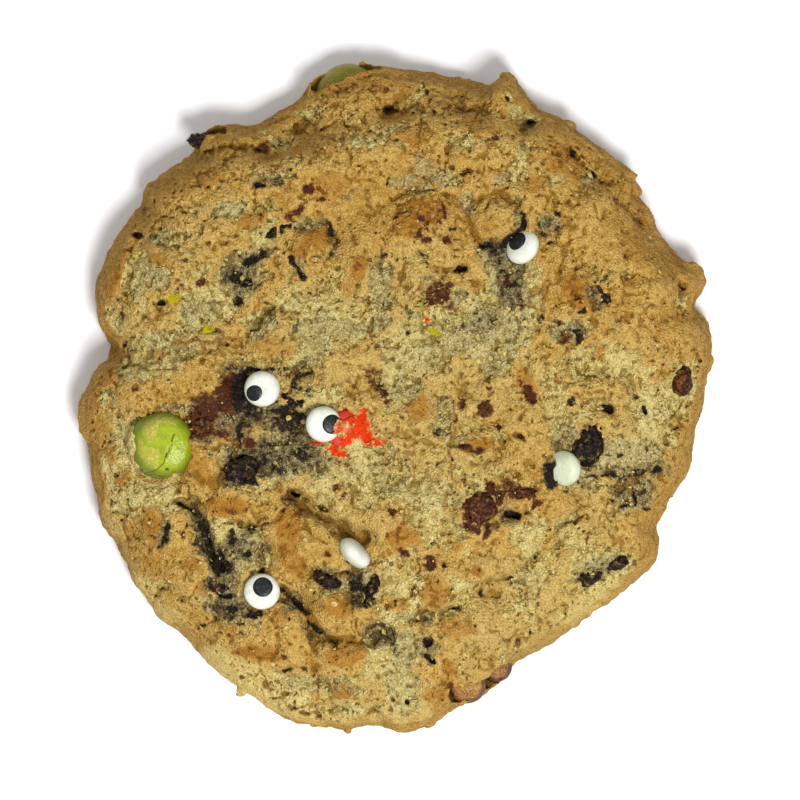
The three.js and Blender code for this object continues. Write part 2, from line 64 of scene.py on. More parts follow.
DOUGH_NODE = "cookie"
Array = np.ndarray
Colour = tuple[float, float, float]
Socket = bpy.types.NodeSocket
Place = tuple[float, float]
Feeds = dict[str | int, object]
Outputs = bpy.types.bpy_prop_collection


# ---------- small mathematics


def srgb(red: int, green: int, blue: int) -> Colour:
    """Turns a colour, read 0 to 255, into the linear one that a shader takes."""
    def linear(value: int) -> float:
        """Undoes the curve that a screen's values follow."""
        share = value / 255
        return share / 12.92 if share <= 0.04045 else ((share + 0.055) / 1.055) ** 2.4
    return linear(red), linear(green), linear(blue)


def smooth(low: float, high: float, value: Array) -> Array:
    """Rises smoothly from 0 at low to 1 at high."""
    share = np.clip((value - low) / (high - low), 0, 1)
    return share * share * (3 - 2 * share)


LATTICE = 64
NUMBERS = np.random.default_rng(41).random((LATTICE**3, 4), np.float32)
SHIFTS = np.random.default_rng(43).integers(0, LATTICE, (512, 3)).astype(np.int32)


def steps_along(cell: Array, axis: int, seed: int) -> Array:
    """Gives each cell's share of its place in the table of random numbers."""
    return ((cell + SHIFTS[seed, axis]) & (LATTICE - 1)) * LATTICE ** (2 - axis)


def drawn(cells: Array, seed: int) -> Array:
    """Draws a fixed random number from 0 to 1 for each whole-numbered cell."""
    place = sum(steps_along(cells[:, axis], axis, seed) for axis in range(cells.shape[1]))
    return NUMBERS[place + (SHIFTS[seed, 2] if cells.shape[1] == 2 else 0), 0]


def noise(points: Array, across: float, seed: int) -> Array:
    """Smooth value noise.

    Args:
        points: N by 2 or N by 3 places, in millimetres.
        across: The width of its lumps, in millimetres.
        seed: Which of the fixed patterns to take.

    Returns:
        N values from -1 to 1.
    """
    scaled = points / across + 0.37 * seed
    cell = np.floor(scaled).astype(np.int32)
    part = (scaled - cell).astype(np.float32)
    part = part * part * (3 - 2 * part)
    axes = range(points.shape[1])
    places = [[steps_along(cell[:, a] + step, a, seed) for step in (0, 1)] for a in axes]
    weights = [(1 - part[:, a], part[:, a]) for a in axes]
    total = np.zeros(len(points), np.float32)
    plane = SHIFTS[seed, 2] if points.shape[1] == 2 else 0
    for corner in product((0, 1), repeat=points.shape[1]):
        place = sum(places[a][step] for a, step in enumerate(corner)) + plane
        total += math.prod(weights[a][step] for a, step in enumerate(corner)) * NUMBERS[place, 0]
    return 2 * total - 1


def layered(points: Array, across: float, seed: int, layers: int = 3) -> Array:
    """Adds up noise of halving width and height, from -1 to 1 or so."""
    total, height = np.zeros(len(points), np.float32), 0.0
    for layer in range(layers):
        total += noise(points, across / 2**layer, seed + layer) / 2**layer
        height += 1 / 2**layer
    return total / height * 1.4


def nearest_cell(points: Array, across: float, seed: int) -> tuple[Array, Array]:
    """Finds the nearest of many scattered middles, one in each cell of a grid.

    Args:
        points: N by 3 places, in millimetres.
        across: The size of a cell, in millimetres.
        seed: Which scattering to take.

    Returns:
        The distance to the nearest middle, in millimetres, and that middle's own number, 0 to 1.
    """
    scaled = (points / across).astype(np.float32)
    base = np.floor(scaled - 0.5).astype(np.int32)
    places = [[steps_along(base[:, a] + step, a, seed) for step in (0, 1)] for a in range(3)]
    best = np.full(len(points), 9.0, np.float32)
    number = np.zeros(len(points), np.float32)
    for corner in product((0, 1), repeat=3):
        row = NUMBERS[sum(places[a][step] for a, step in enumerate(corner))]
        middle = base + np.array(corner, np.float32) + 0.5 + 0.7 * (row[:, :3] - 0.5)
        square = ((scaled - middle) ** 2).sum(1)
        closer = square < best
        best = np.where(closer, square, best)
        number = np.where(closer, row[:, 3], number)
    return np.sqrt(best) * across, number


def tear_distance(plan: Array, across: float, seed: int) -> Array:
    """Gives the distance from places of the plan to the borders of ragged patches.

    Args:
        plan: N by 2 places, in millimetres.
        across: The size of a patch, in millimetres.
        seed: Which scattering of patches to take.

    Returns:
        N distances, in millimetres.
    """
    bend = np.stack([layered(plan, 0.45 * across, seed + n, 3) for n in (1, 5)], 1)
    scaled = plan / across + 0.22 * bend
    base = np.floor(scaled).astype(np.int32)
    first = np.full(len(plan), 9.0, np.float32)
    second = first.copy()
    for step in product((-1, 0, 1), repeat=2):
        cell = base + np.array(step, np.int32)
        shift = [scaled[:, a] - cell[:, a] - drawn(cell, seed + 11 + a) for a in range(2)]
        distance = np.hypot(*shift).astype(np.float32)
        second = np.minimum(second, np.maximum(first, distance))
        first = np.minimum(first, distance)
    return (second - first) * across / 2


# ---------- marks on the crust


@dataclass(frozen=True)
class Oval:
    """A patch of the crust, with ragged edges.

    Attributes:
        at: Its middle.
        half: Its half sizes along and across.
        power: How strong it is, or how deep in millimetres.
        turn: Its turn in degrees.
        ragged: How far its edge strays, as a share of its half size.
    """

    at: Place
    half: Place
    power: float
    turn: float
    ragged: float

    def cover(self, plan: Array) -> Array:
        """Says how much of the patch lies at each place of the plan."""
        angle = math.radians(self.turn)
        shift = plan - np.array(self.at)
        along = (shift[:, 0] * math.cos(angle) + shift[:, 1] * math.sin(angle)) / self.half[0]
        across = (shift[:, 1] * math.cos(angle) - shift[:, 0] * math.sin(angle)) / self.half[1]
        reach = np.sqrt(along**2 + across**2)
        near = reach < 2.2
        cover = np.zeros(len(plan), np.float32)
        if near.any():
            edge = layered(plan[near], max(0.8, 0.9 * min(self.half)), 31) * self.ragged
            cover[near] = self.power * smooth(1.25, 0.75, reach[near] + edge)
        return cover


@dataclass(frozen=True)
class Stroke:
    """A crack, groove or streak along a route.

    Attributes:
        route: The points it follows.
        half: Half its width.
        power: How deep it is in millimetres, or how strong from 0 to 1.
        ragged: How far its width strays, as a share of it.
    """

    route: tuple[Place, ...]
    half: float
    power: float
    ragged: float

    def cover(self, plan: Array) -> Array:
        """Says how deep or strong the stroke is at each place of the plan."""
        nodes = np.array(self.route)
        low, high = nodes.min(0) - 4 * self.half - 1.5, nodes.max(0) + 4 * self.half + 1.5
        near = ((plan > low) & (plan < high)).all(1)
        cover = np.zeros(len(plan), np.float32)
        if not near.any():
            return cover
        spot = plan[near]
        bend = np.stack([noise(spot, 2.4, 51), noise(spot, 2.4, 52)], 1) * 0.55
        fray = np.stack([noise(spot, 0.8, 53), noise(spot, 0.8, 54)], 1) * 0.28
        spot = spot + bend + fray
        best = np.full(len(spot), 1e9)
        for start, end in zip(nodes[:-1], nodes[1:]):
            run = end - start
            share = np.clip((spot - start) @ run / (run @ run), 0, 1)
            best = np.minimum(best, np.linalg.norm(spot - start - share[:, None] * run, axis=1))
        width = self.half * (1 + self.ragged * noise(spot, 1.9, 55))
        cover[near] = self.power * smooth(1.35, 0.45, best / np.maximum(width, 0.1))
        return cover


def covered(marks: tuple, plan: Array) -> Array:
    """Joins marks into one mask: the strongest wins at each place."""
    total = np.zeros(len(plan), np.float32)
    for mark in marks:
        total = np.maximum(total, mark.cover(plan))
    return total


def ovals(*rows: tuple[float, ...], ragged: float = 0.35) -> tuple[Oval, ...]:
    """Makes ovals from rows of middle, half sizes, power and turn; power 1 and turn 0 may be left out."""
    return tuple(Oval(row[:2], row[2:4], *(row[4:] + (1, 0)[len(row) - 4:]), ragged) for row in rows)


def strokes(*rows: tuple[float, ...], ragged: float = 0.8) -> tuple[Stroke, ...]:
    """Makes strokes from rows of half width, power and the points of the route, one after another."""
    return tuple(Stroke(tuple(zip(row[2::2], row[3::2])), *row[:2], ragged) for row in rows)


# Cracks between the plates of crust: power is the depth.
CRACKS = strokes(
    (1.3, 1.9, -20.6, -19.6, -18.6, -21.2, -15.4, -22.6, -12.4, -25.4, -9.4, -27.4, -6, -28.6),
    (0.59, 0.84, -20.4, -20.4, -23.4, -24, -27, -25.6, -31, -25.2),
    (0.5, 0.84, -26.4, -25.6, -27, -29.6, -26.2, -34.2),
    (0.72, 1, -43.4, -20.4, -41, -21.4, -38.8, -23.4, -38.2, -27, -37, -31.2, -35, -35),
    (0.45, 0.69, -38.2, -36.6, -36.4, -38.6, -34.4, -39.6, -32.8, -40.2),
    (0.68, 0.92, -22.8, -37.2, -20.4, -40.2, -17.6, -42.6, -16.4, -45.4, -13, -48.2, -9, -48.6, -4, -49.2),
    (0.72, 0.73, -17.2, -47.6, -16.4, -51, -15.6, -55.6),
    (0.36, 0.61, -23.8, -54.6, -20.6, -53.8, -17.4, -54.2),
    (0.27, 0.42, -23.8, -48, -23.2, -51, -21.6, -52.6),
    (0.68, 0.58, -2.6, 37.8, -0.6, 39.8, 3, 40.9, 8.6, 41.2, 11.6, 39.6, 14.2, 37, 14.8, 33, 17.2, 31, 21,
     29.8),
    (0.45, 0.73, 14.6, 37.4, 17.6, 40.2, 20.6, 41.2, 22.4, 39.2, 24.6, 37.4, 25.6, 35.2, 25, 32.8),
    (0.54, 0.58, 4.8, 29.2, 6.4, 27, 8.4, 25.6, 11.4, 24.9, 13.8, 26),
    (0.32, 0.38, 11.2, 31.2, 12, 28, 11.6, 26),
    (0.63, 0.54, -15.6, 35.8, -13.8, 34, -11.6, 31.6, -12.8, 28.4, -12.6, 26.2),
    (0.5, 0.54, -20.8, 27.2, -19.2, 25.4, -18, 23.6),
    (0.63, 0.58, -29.8, 10.9, -28.4, 13.6, -26, 16.4, -24, 17.8, -21.8, 16.6, -19, 16.4),
    (0.45, 0.54, -36.4, 9.2, -34.2, 10.4, -30.4, 10.2),
    (0.63, 0.35, -4.8, 30.8, -3, 28, -2.4, 22, -3.6, 17, -5.2, 12),
    (0.32, 0.38, 45.2, 23.2, 48, 24, 51.4, 23.6, 54, 24.2),
    (0.27, 0.35, 45.4, 18, 48, 18.9, 50.6, 19.8, 52.4, 20.6),
    (0.23, 0.31, 41.6, 27.6, 43.6, 27.2, 44.4, 25.6), (0.23, 0.31, 29.6, 45.4, 30.6, 42.8, 31.2, 40.4),
    (0.18, 0.27, 33.6, 44.2, 36, 42.2, 37, 39.4), (0.32, 0.42, 41.8, 4.2, 43.6, 4.6, 46.6, 4.4, 47.6, 2.2),
    (0.32, 0.38, 51, 4.2, 53.4, 5.6, 55.4, 5.8),
    (0.5, 0.5, 20.6, -7.6, 22, -9, 20.4, -11.6, 18, -12.8, 14.6, -13.4, 11.4, -12),
    (0.38, 0.65, 9.6, -40.6, 13.4, -38.8, 17, -37.4, 20.4, -36.2, 23.6, -34.9, 27, -32.8, 29.6, -30.4, 31,
     -27.4, 34.4, -24.8, 37.6, -23.6),
    (0.45, 0.54, 16.4, -38, 17.2, -39.4), (0.41, 0.54, 25, -38.2, 25.6, -41, 27.2, -43.8),
    (0.45, 0.38, 9.4, -45.2, 8.6, -47.8, 9.6, -51), (0.41, 0.38, 14.4, -43, 15.4, -46.4, 17.6, -48.6),
    (0.5, 0.58, -51.6, 33.4, -52.6, 29.2, -52.4, 26, -53.4, 21, -54.8, 15.6),
    (0.36, 0.5, -46.6, 35.2, -45, 37.4, -42.4, 38, -39.8, 36.4),
    (0.45, 0.69, -42.6, 46.8, -38, 49, -33.4, 50.2, -28.6, 49.8, -26, 48.8),
    (0.23, 0.35, -39.6, 47.4, -35, 47.6, -31, 48.4), (0.32, 0.54, -17.6, 58, -16.2, 57.4, -15, 56.8),
    (0.27, 0.38, -14, 61, -9.6, 61.6, -5.6, 61.4, -2, 60.6),
    (0.54, 0.38, 2, 59.8, 5.6, 58, 10, 57.6, 14.6, 57.4), (0.32, 0.54, 21, 60.2, 22.6, 59.2),
    (0.23, 0.46, 24, 62, 25, 59, 25.2, 57.8), (0.41, 0.42, 30.6, 51.8, 33, 50.2, 35.6, 48.8),
    (0.59, 0.84, 34.6, 49.6, 36.6, 47.2), (0.45, 0.69, 37.6, 46.8, 39.8, 44.8, 41, 42.6),
    (0.45, 0.69, 42.4, 41.4, 44.6, 39.2, 47, 37, 49.2, 34.8),
    (0.36, 0.54, 52, 31, 54.4, 27.4, 56.6, 23.4, 57.4, 20), (0.41, 0.69, 60.6, 17.3, 58, 17.2, 56, 18.2),
    (0.45, 0.58, -57.6, 9.6, -55, 10.4, -52, 12), (0.27, 0.46, -51.8, -15, -51.9, -18.4, -51.4, -20),
    (0.23, 0.35, -50.2, -19.8, -46.4, -19.6, -43.6, -18.6),
    (0.27, 0.27, -36.4, 30.6, -33.6, 30.2, -31.4, 31.8), (0.23, 0.23, -44, -44.6, -40, -47.6, -34, -51.6),
    (0.32, 0.35, -20.6, -62.4, -13.4, -61, -7, -63.4),
)
HOLES = ovals(
    (-3.4, -47.2, 3.2, 2.2, 0.9, -20), (-19.1, 54.2, 2.2, 1.3, 0.9, 25), (-1.1, 57.4, 1.3, 0.9, 2),
    (26.3, 54.2, 1.6, 0.9, 1.8, 20), (42.2, -2.2, 1.6, 1, 1.4, -20), (23.6, -23.4, 1.7, 0.8, 1.4, -8),
    (12, -42.1, 0.9, 0.35, 1.2), (6.4, -48.8, 1, 1, 1.6), (6.8, -52, 1.3, 0.6, 1.5, -40),
    (13.2, 25.4, 1.2, 0.8, 1.6, 20), (49.6, -2.6, 0.5, 1, 1.5, 20), (-51.4, 32.3, 1.1, 0.6, 1, -10),
    (57.4, 22, 0.9, 0.9, 1.2), (31.8, 38.8, 0.8, 0.6, 1.1), (-46.6, 18.6, 0.9, 0.5, 0.9, 10),
    (24.4, -48.8, 0.5, 0.9, 1.2), (-27.2, 42.1, 1.4, 0.7, 1, -10), (-19.6, -19, 1.2, 0.9, 1.4),
    (-23.2, -17.8, 0.8, 1.3, 1.2, 20), (-7.6, -38.6, 1.3, 2.6, 1.3, -10), (-1.4, -41.4, 0.7, 0.8),
    (2.4, -60.8, 0.5, 0.6, 0.9), (0.9, -66, 0.9, 0.6, 0.8), (24.4, -7.8, 1.2, 0.7, 1.1, -20),
    (23, -2.6, 0.5, 0.5, 0.8), (2.4, 13, 0.4, 0.3, 0.8),
)
# Smooth lumps pushed up through the crust: power is the height.
DOMES = ovals(
    (35.7, 21.2, 2.6, 3.9, 0.9, 25),
    ragged=0.12,
) + ovals(
    (4.9, 34.6, 5.2, 5.6, 0.7, 12), (-17.4, 30.6, 4, 2.4, 0.7, 35), (-7.2, 25.4, 2, 2.6, 0.5),
    ragged=0.15,
) + ovals(
    (19.8, 35.2, 3.9, 3.5, 0.8), (9, 29, 2.4, 2, 0.7), (13, 47.4, 2.4, 2.2, 0.7),
    (16.8, -9.4, 4, 2.4, 0.5, 10), (-48.2, -26.4, 2, 4, 0.6, 8), (8.4, 58.6, 3.6, 1.8, 0.8, -6),
    (-10.5, -58.4, 2.6, 1.8, 0.5),
    ragged=0.2,
) + ovals(
    (-22, -25, 3.2, 3.2, 0.6), (-41.8, -34.4, 3.4, 2.4, 0.6, 10),
    ragged=0.25,
) + ovals(
    (-31.6, 51.8, 4.4, 1.6, 0.6),
    ragged=0.3,
)
# Plates of crust whose edges have lifted: power is the height.
FLAPS = ovals(
    (-8.6, -21.6, 9.4, 3.6, 0.9, -36), (-36, -19.4, 8.6, 2.8, 0.7, -8), (30.6, 29.4, 7.6, 5.6, 0.5, -30),
    (41.6, 33.6, 9.6, 5.6, 0.5, -48), (-8.6, 46.6, 12.6, 4.4, 0.5, 4), (16.6, 50.4, 9.6, 4.6, 0.5, -14),
    (-38.8, -13.2, 3, 6.6, 0.6, 28),
) + ovals(
    (-21.2, -27.6, 4.4, 6.8, 0.9, 15), (17, -31.6, 13, 4.6, 0.8, 24),
    ragged=0.3,
) + ovals(
    (20, -44, 8.6, 4.2, 0.5, 30), (-28.6, -50.4, 9.4, 4, 0.5, -14), (-10.6, -53.6, 7.6, 4.6, 0.6, -10),
    (-44.6, -33, 4, 6.6, 0.5, 20), (-30.4, 36, 7.6, 3.8, 0.5, 22), (46, 12.4, 8.6, 6.4, 0.45),
    (-47, 6, 5.6, 4, 0.4), (4.6, 29.6, 6, 4, 0.3), (-10.8, -41.4, 5, 3, 0.5, 15),
    ragged=0.4,
)
BROWNED = ovals(
    (4.6, 37, 4.6, 2.8, 0.95, 12), (2, 34, 3, 2.6, 0.8), (19.4, 34.4, 2.4, 1.6, 0.5),
    (-17, 30.6, 4.2, 2.2, 0.9, 35), (-28, 35.4, 3.4, 1.6, 0.7, 20), (-7.2, 25.6, 1.8, 2.4, 0.95),
    (-9.4, 21.6, 2, 2.6, 0.5), (33.6, 47, 5, 3.2, 0.7, -35), (27, 42.6, 3.4, 2.4, 0.5),
    (47.6, 30, 3.4, 4.2, 0.45, 40), (16.6, -9.6, 3.6, 1.5, 0.9, 8), (-48.2, -26.4, 1.8, 4.2, 0.95, 8),
    (-38.6, -38.2, 1.2, 1.6, 0.8), (-40.6, -33.2, 2.6, 1.4, 0.7), (-28, -51, 4.6, 1.6, 0.9, -5),
    (-33, -47, 1.4, 1.4, 0.5), (-23, -43.6, 2.6, 1.6, 0.6), (-21.6, -25.4, 2.6, 3.6, 0.95, 10),
    (-21, -32, 2.2, 4.2, 0.7, 20), (-11.4, -41.8, 3, 2, 0.8), (-33, -21.6, 4.4, 2, 0.95, 5),
    (-39.4, -13.6, 2, 4.6, 0.7, 25), (-10, -51.6, 4, 2.2, 0.75, 10), (-10.4, -58.4, 2.4, 1.6),
    (-24, 9.6, 4.6, 1.8, 0.6), (1.4, -28, 3.4, 2.4, 0.75), (7.6, -38.6, 3.4, 3, 0.7),
    (0, -41, 2.4, 1.4, 0.6), (-56.6, 24.6, 2.2, 6.4, 0.9, -20), (-13, 42.6, 4.6, 2, 0.6),
    (-22, 39, 2.4, 1.6, 0.5), (-16, 49.4, 5, 1.6, 0.5, 4), (3.4, 52, 4, 1.8, 0.6), (18, 53.6, 3.6, 1.8, 0.6),
    (26.4, 2.4, 2, 3.6, 0.7, 25), (4.6, -2.4, 2.4, 3, 0.75), (12.4, -46, 4, 2.4, 0.6),
    (10.6, -54, 1.6, 2.2, 0.8, 20), (8, -60.6, 3.2, 2.4, 0.6), (-36.6, 43.8, 3, 2, 0.6, 20),
    (-43, 41.8, 3.6, 2.4, 0.5, 20), (-57.6, 4.4, 2.2, 2.4, 0.7), (-60.8, -0.6, 1.8, 2.8, 0.7),
    (-54.6, -17.6, 2, 3.4, 0.6), (50.4, -32.4, 1.8, 2.8, 0.7, -40), (-47, 27.4, 2, 1.2, 0.7),
    (-13.6, -31, 1.4, 0.8, 0.8), (16, 22, 1.6, 1.4, 0.6), (16.2, -34.8, 1.6, 1.2, 0.9),
    (12, -29.8, 1.4, 1.2, 0.6), (43, -42, 3, 2, 0.4, 40), (41, 8.4, 1.6, 1.4, 0.6),
    (8.4, 58.8, 3.2, 1.4, 0.7),
) + ovals(
    (35.7, 21, 2.5, 3.8, 0.95, 25),
    ragged=0.2,
)
RED_BROWN = ovals(
    (-33.5, 0.5, 2.8, 4.4, 0.95, -30), (-29.2, -9.3, 1.2, 1.1, 0.9), (-26.6, 49.3, 1.6, 1.2, 0.8, 10),
    (-17.2, 41.2, 1.7, 1.2, 1, 30), (-14.6, 39.4, 0.9, 0.4, 1, -20), (-51.4, 32.3, 1.2, 0.7, 1, -10),
    (-38.8, 22.6, 0.9, 0.8, 1, 30), (-37, 30.6, 0.7, 0.4, 0.7), (-33.2, 30.8, 0.8, 0.4, 0.6, 30),
    (19.8, 51.4, 0.8, 0.8), (4.6, 32.2, 1.1, 0.9, 1, 10), (6.2, 31.2, 1, 0.6), (10.2, 31.2, 0.9, 0.9),
    (5.4, 36.6, 3.6, 2.6, 0.35), (22.2, 22.8, 0.8, 1), (24.8, 17.8, 0.9, 1.2, 0.6, 30),
    (10.4, 22.2, 1.2, 0.8, 0.8, 30), (28.8, 16, 0.7, 0.4), (32.6, 14.6, 0.5, 0.5),
    (33.6, 11.4, 1.6, 0.9, 0.6, 20), (26.8, 0.2, 1.2, 2.2, 1, 25), (25.2, 2.6, 0.7, 0.7, 0.8),
    (17.8, -2.4, 1.4, 1.6, 0.85, 10), (13.2, -1.2, 0.8, 1.1, 0.9), (18.6, 1.8, 0.9, 0.5, 0.7),
    (14, -10, 1.5, 0.7, 0.95, -10), (16.4, -10.8, 1, 0.6, 0.9), (20.4, -6, 0.8, 0.6, 0.8),
    (24.8, -7.8, 1, 0.5, 0.8, -20), (36, 20, 0.8, 0.5, 0.9), (36.6, 18.6, 0.5, 0.6, 0.9),
    (35.2, 21.6, 1.4, 1.6, 0.3), (28, -21.4, 1.1, 0.6, 1, 30), (6.8, -32.8, 1.4, 1.4, 0.9),
    (1.6, -31.2, 1.4, 0.9, 0.85, -30), (3.8, -38.6, 0.9, 1.1, 0.8, -30), (-0.6, -22.8, 0.9, 0.7, 0.9),
    (13.8, -16.8, 0.4, 0.9, 0.8), (-14.6, -22.2, 1.2, 0.5, 0.9, -30), (-11.8, -18, 1.4, 0.8, 0.7),
    (-10, -19.4, 0.8, 0.5, 0.7, 20), (-21.8, 18.8, 0.6, 0.4, 0.5), (-45.6, 19, 0.8, 0.5, 0.6),
    (-51.8, 1.8, 0.7, 0.7, 0.9), (-32, -23, 1.2, 0.7, 0.6), (-42.4, -27.4, 0.7, 0.6, 0.7),
    (-31.4, -9, 1.6, 1, 0.5), (-34.4, -7.4, 1.6, 1, 0.7), (-13.6, -31.2, 0.8, 0.5, 0.8),
    (-22.4, -51.6, 0.9, 0.5, 0.7), (-11, 22.2, 0.5, 0.5, 0.8), (12.6, 57.6, 3, 1, 0.35),
    (-3.2, 61.6, 2.6, 0.9, 0.5, -10), (-8, 61.8, 3, 0.5, 0.5), (57, 20.8, 0.8, 0.6, 0.6),
    (48.6, 35.2, 1.2, 0.9, 0.7, -40), (24.4, -49, 0.5, 0.9, 0.7), (11, -57.6, 0.7, 1.1, 0.9, 20),
    (38.2, -28.2, 0.4, 0.4, 0.7), (-27, 36.2, 0.7, 0.5, 0.9), (-7.4, 25.8, 1, 1.4, 0.5),
) + ovals(
    (-37.5, -3.5, 5, 3.4, 0.9, 40),
    ragged=0.45,
) + ovals(
    (8.8, 20.2, 2.8, 2.6, 0.75, -20), (11.4, 17.4, 2, 1.2, 0.45),
    ragged=0.6,
) + strokes(
    (0.5, 1, -21.6, 35.8, -19.8, 36.6, -18.4, 37.6), (0.45, 0.8, 0.2, 36, 1.6, 36.8, 3.4, 35.4, 5.6, 35.2),
    (0.4, 1, 9.4, 38.6, 9.8, 36.8, 9, 35), (0.5, 1, 6.4, 34.8, 7.2, 33.4),
    (0.8, 1, 16, -21.4, 17.6, -20.2, 18.8, -18.6, 20.4, -19.6, 20.8, -21),
    (1.4, 0.8, 22.6, -17.8, 24.6, -19.4, 27, -18.6),
    (0.75, 1, 14.2, -23, 14.6, -25.6, 16.6, -27.2, 18.8, -27.8, 17.8, -25.8),
    (1.2, 0.65, -4.6, 4.6, -3.4, 2.4, -2, -0.2), (0.5, 0.5, -12, -12.4, -9.6, -13.4),
)
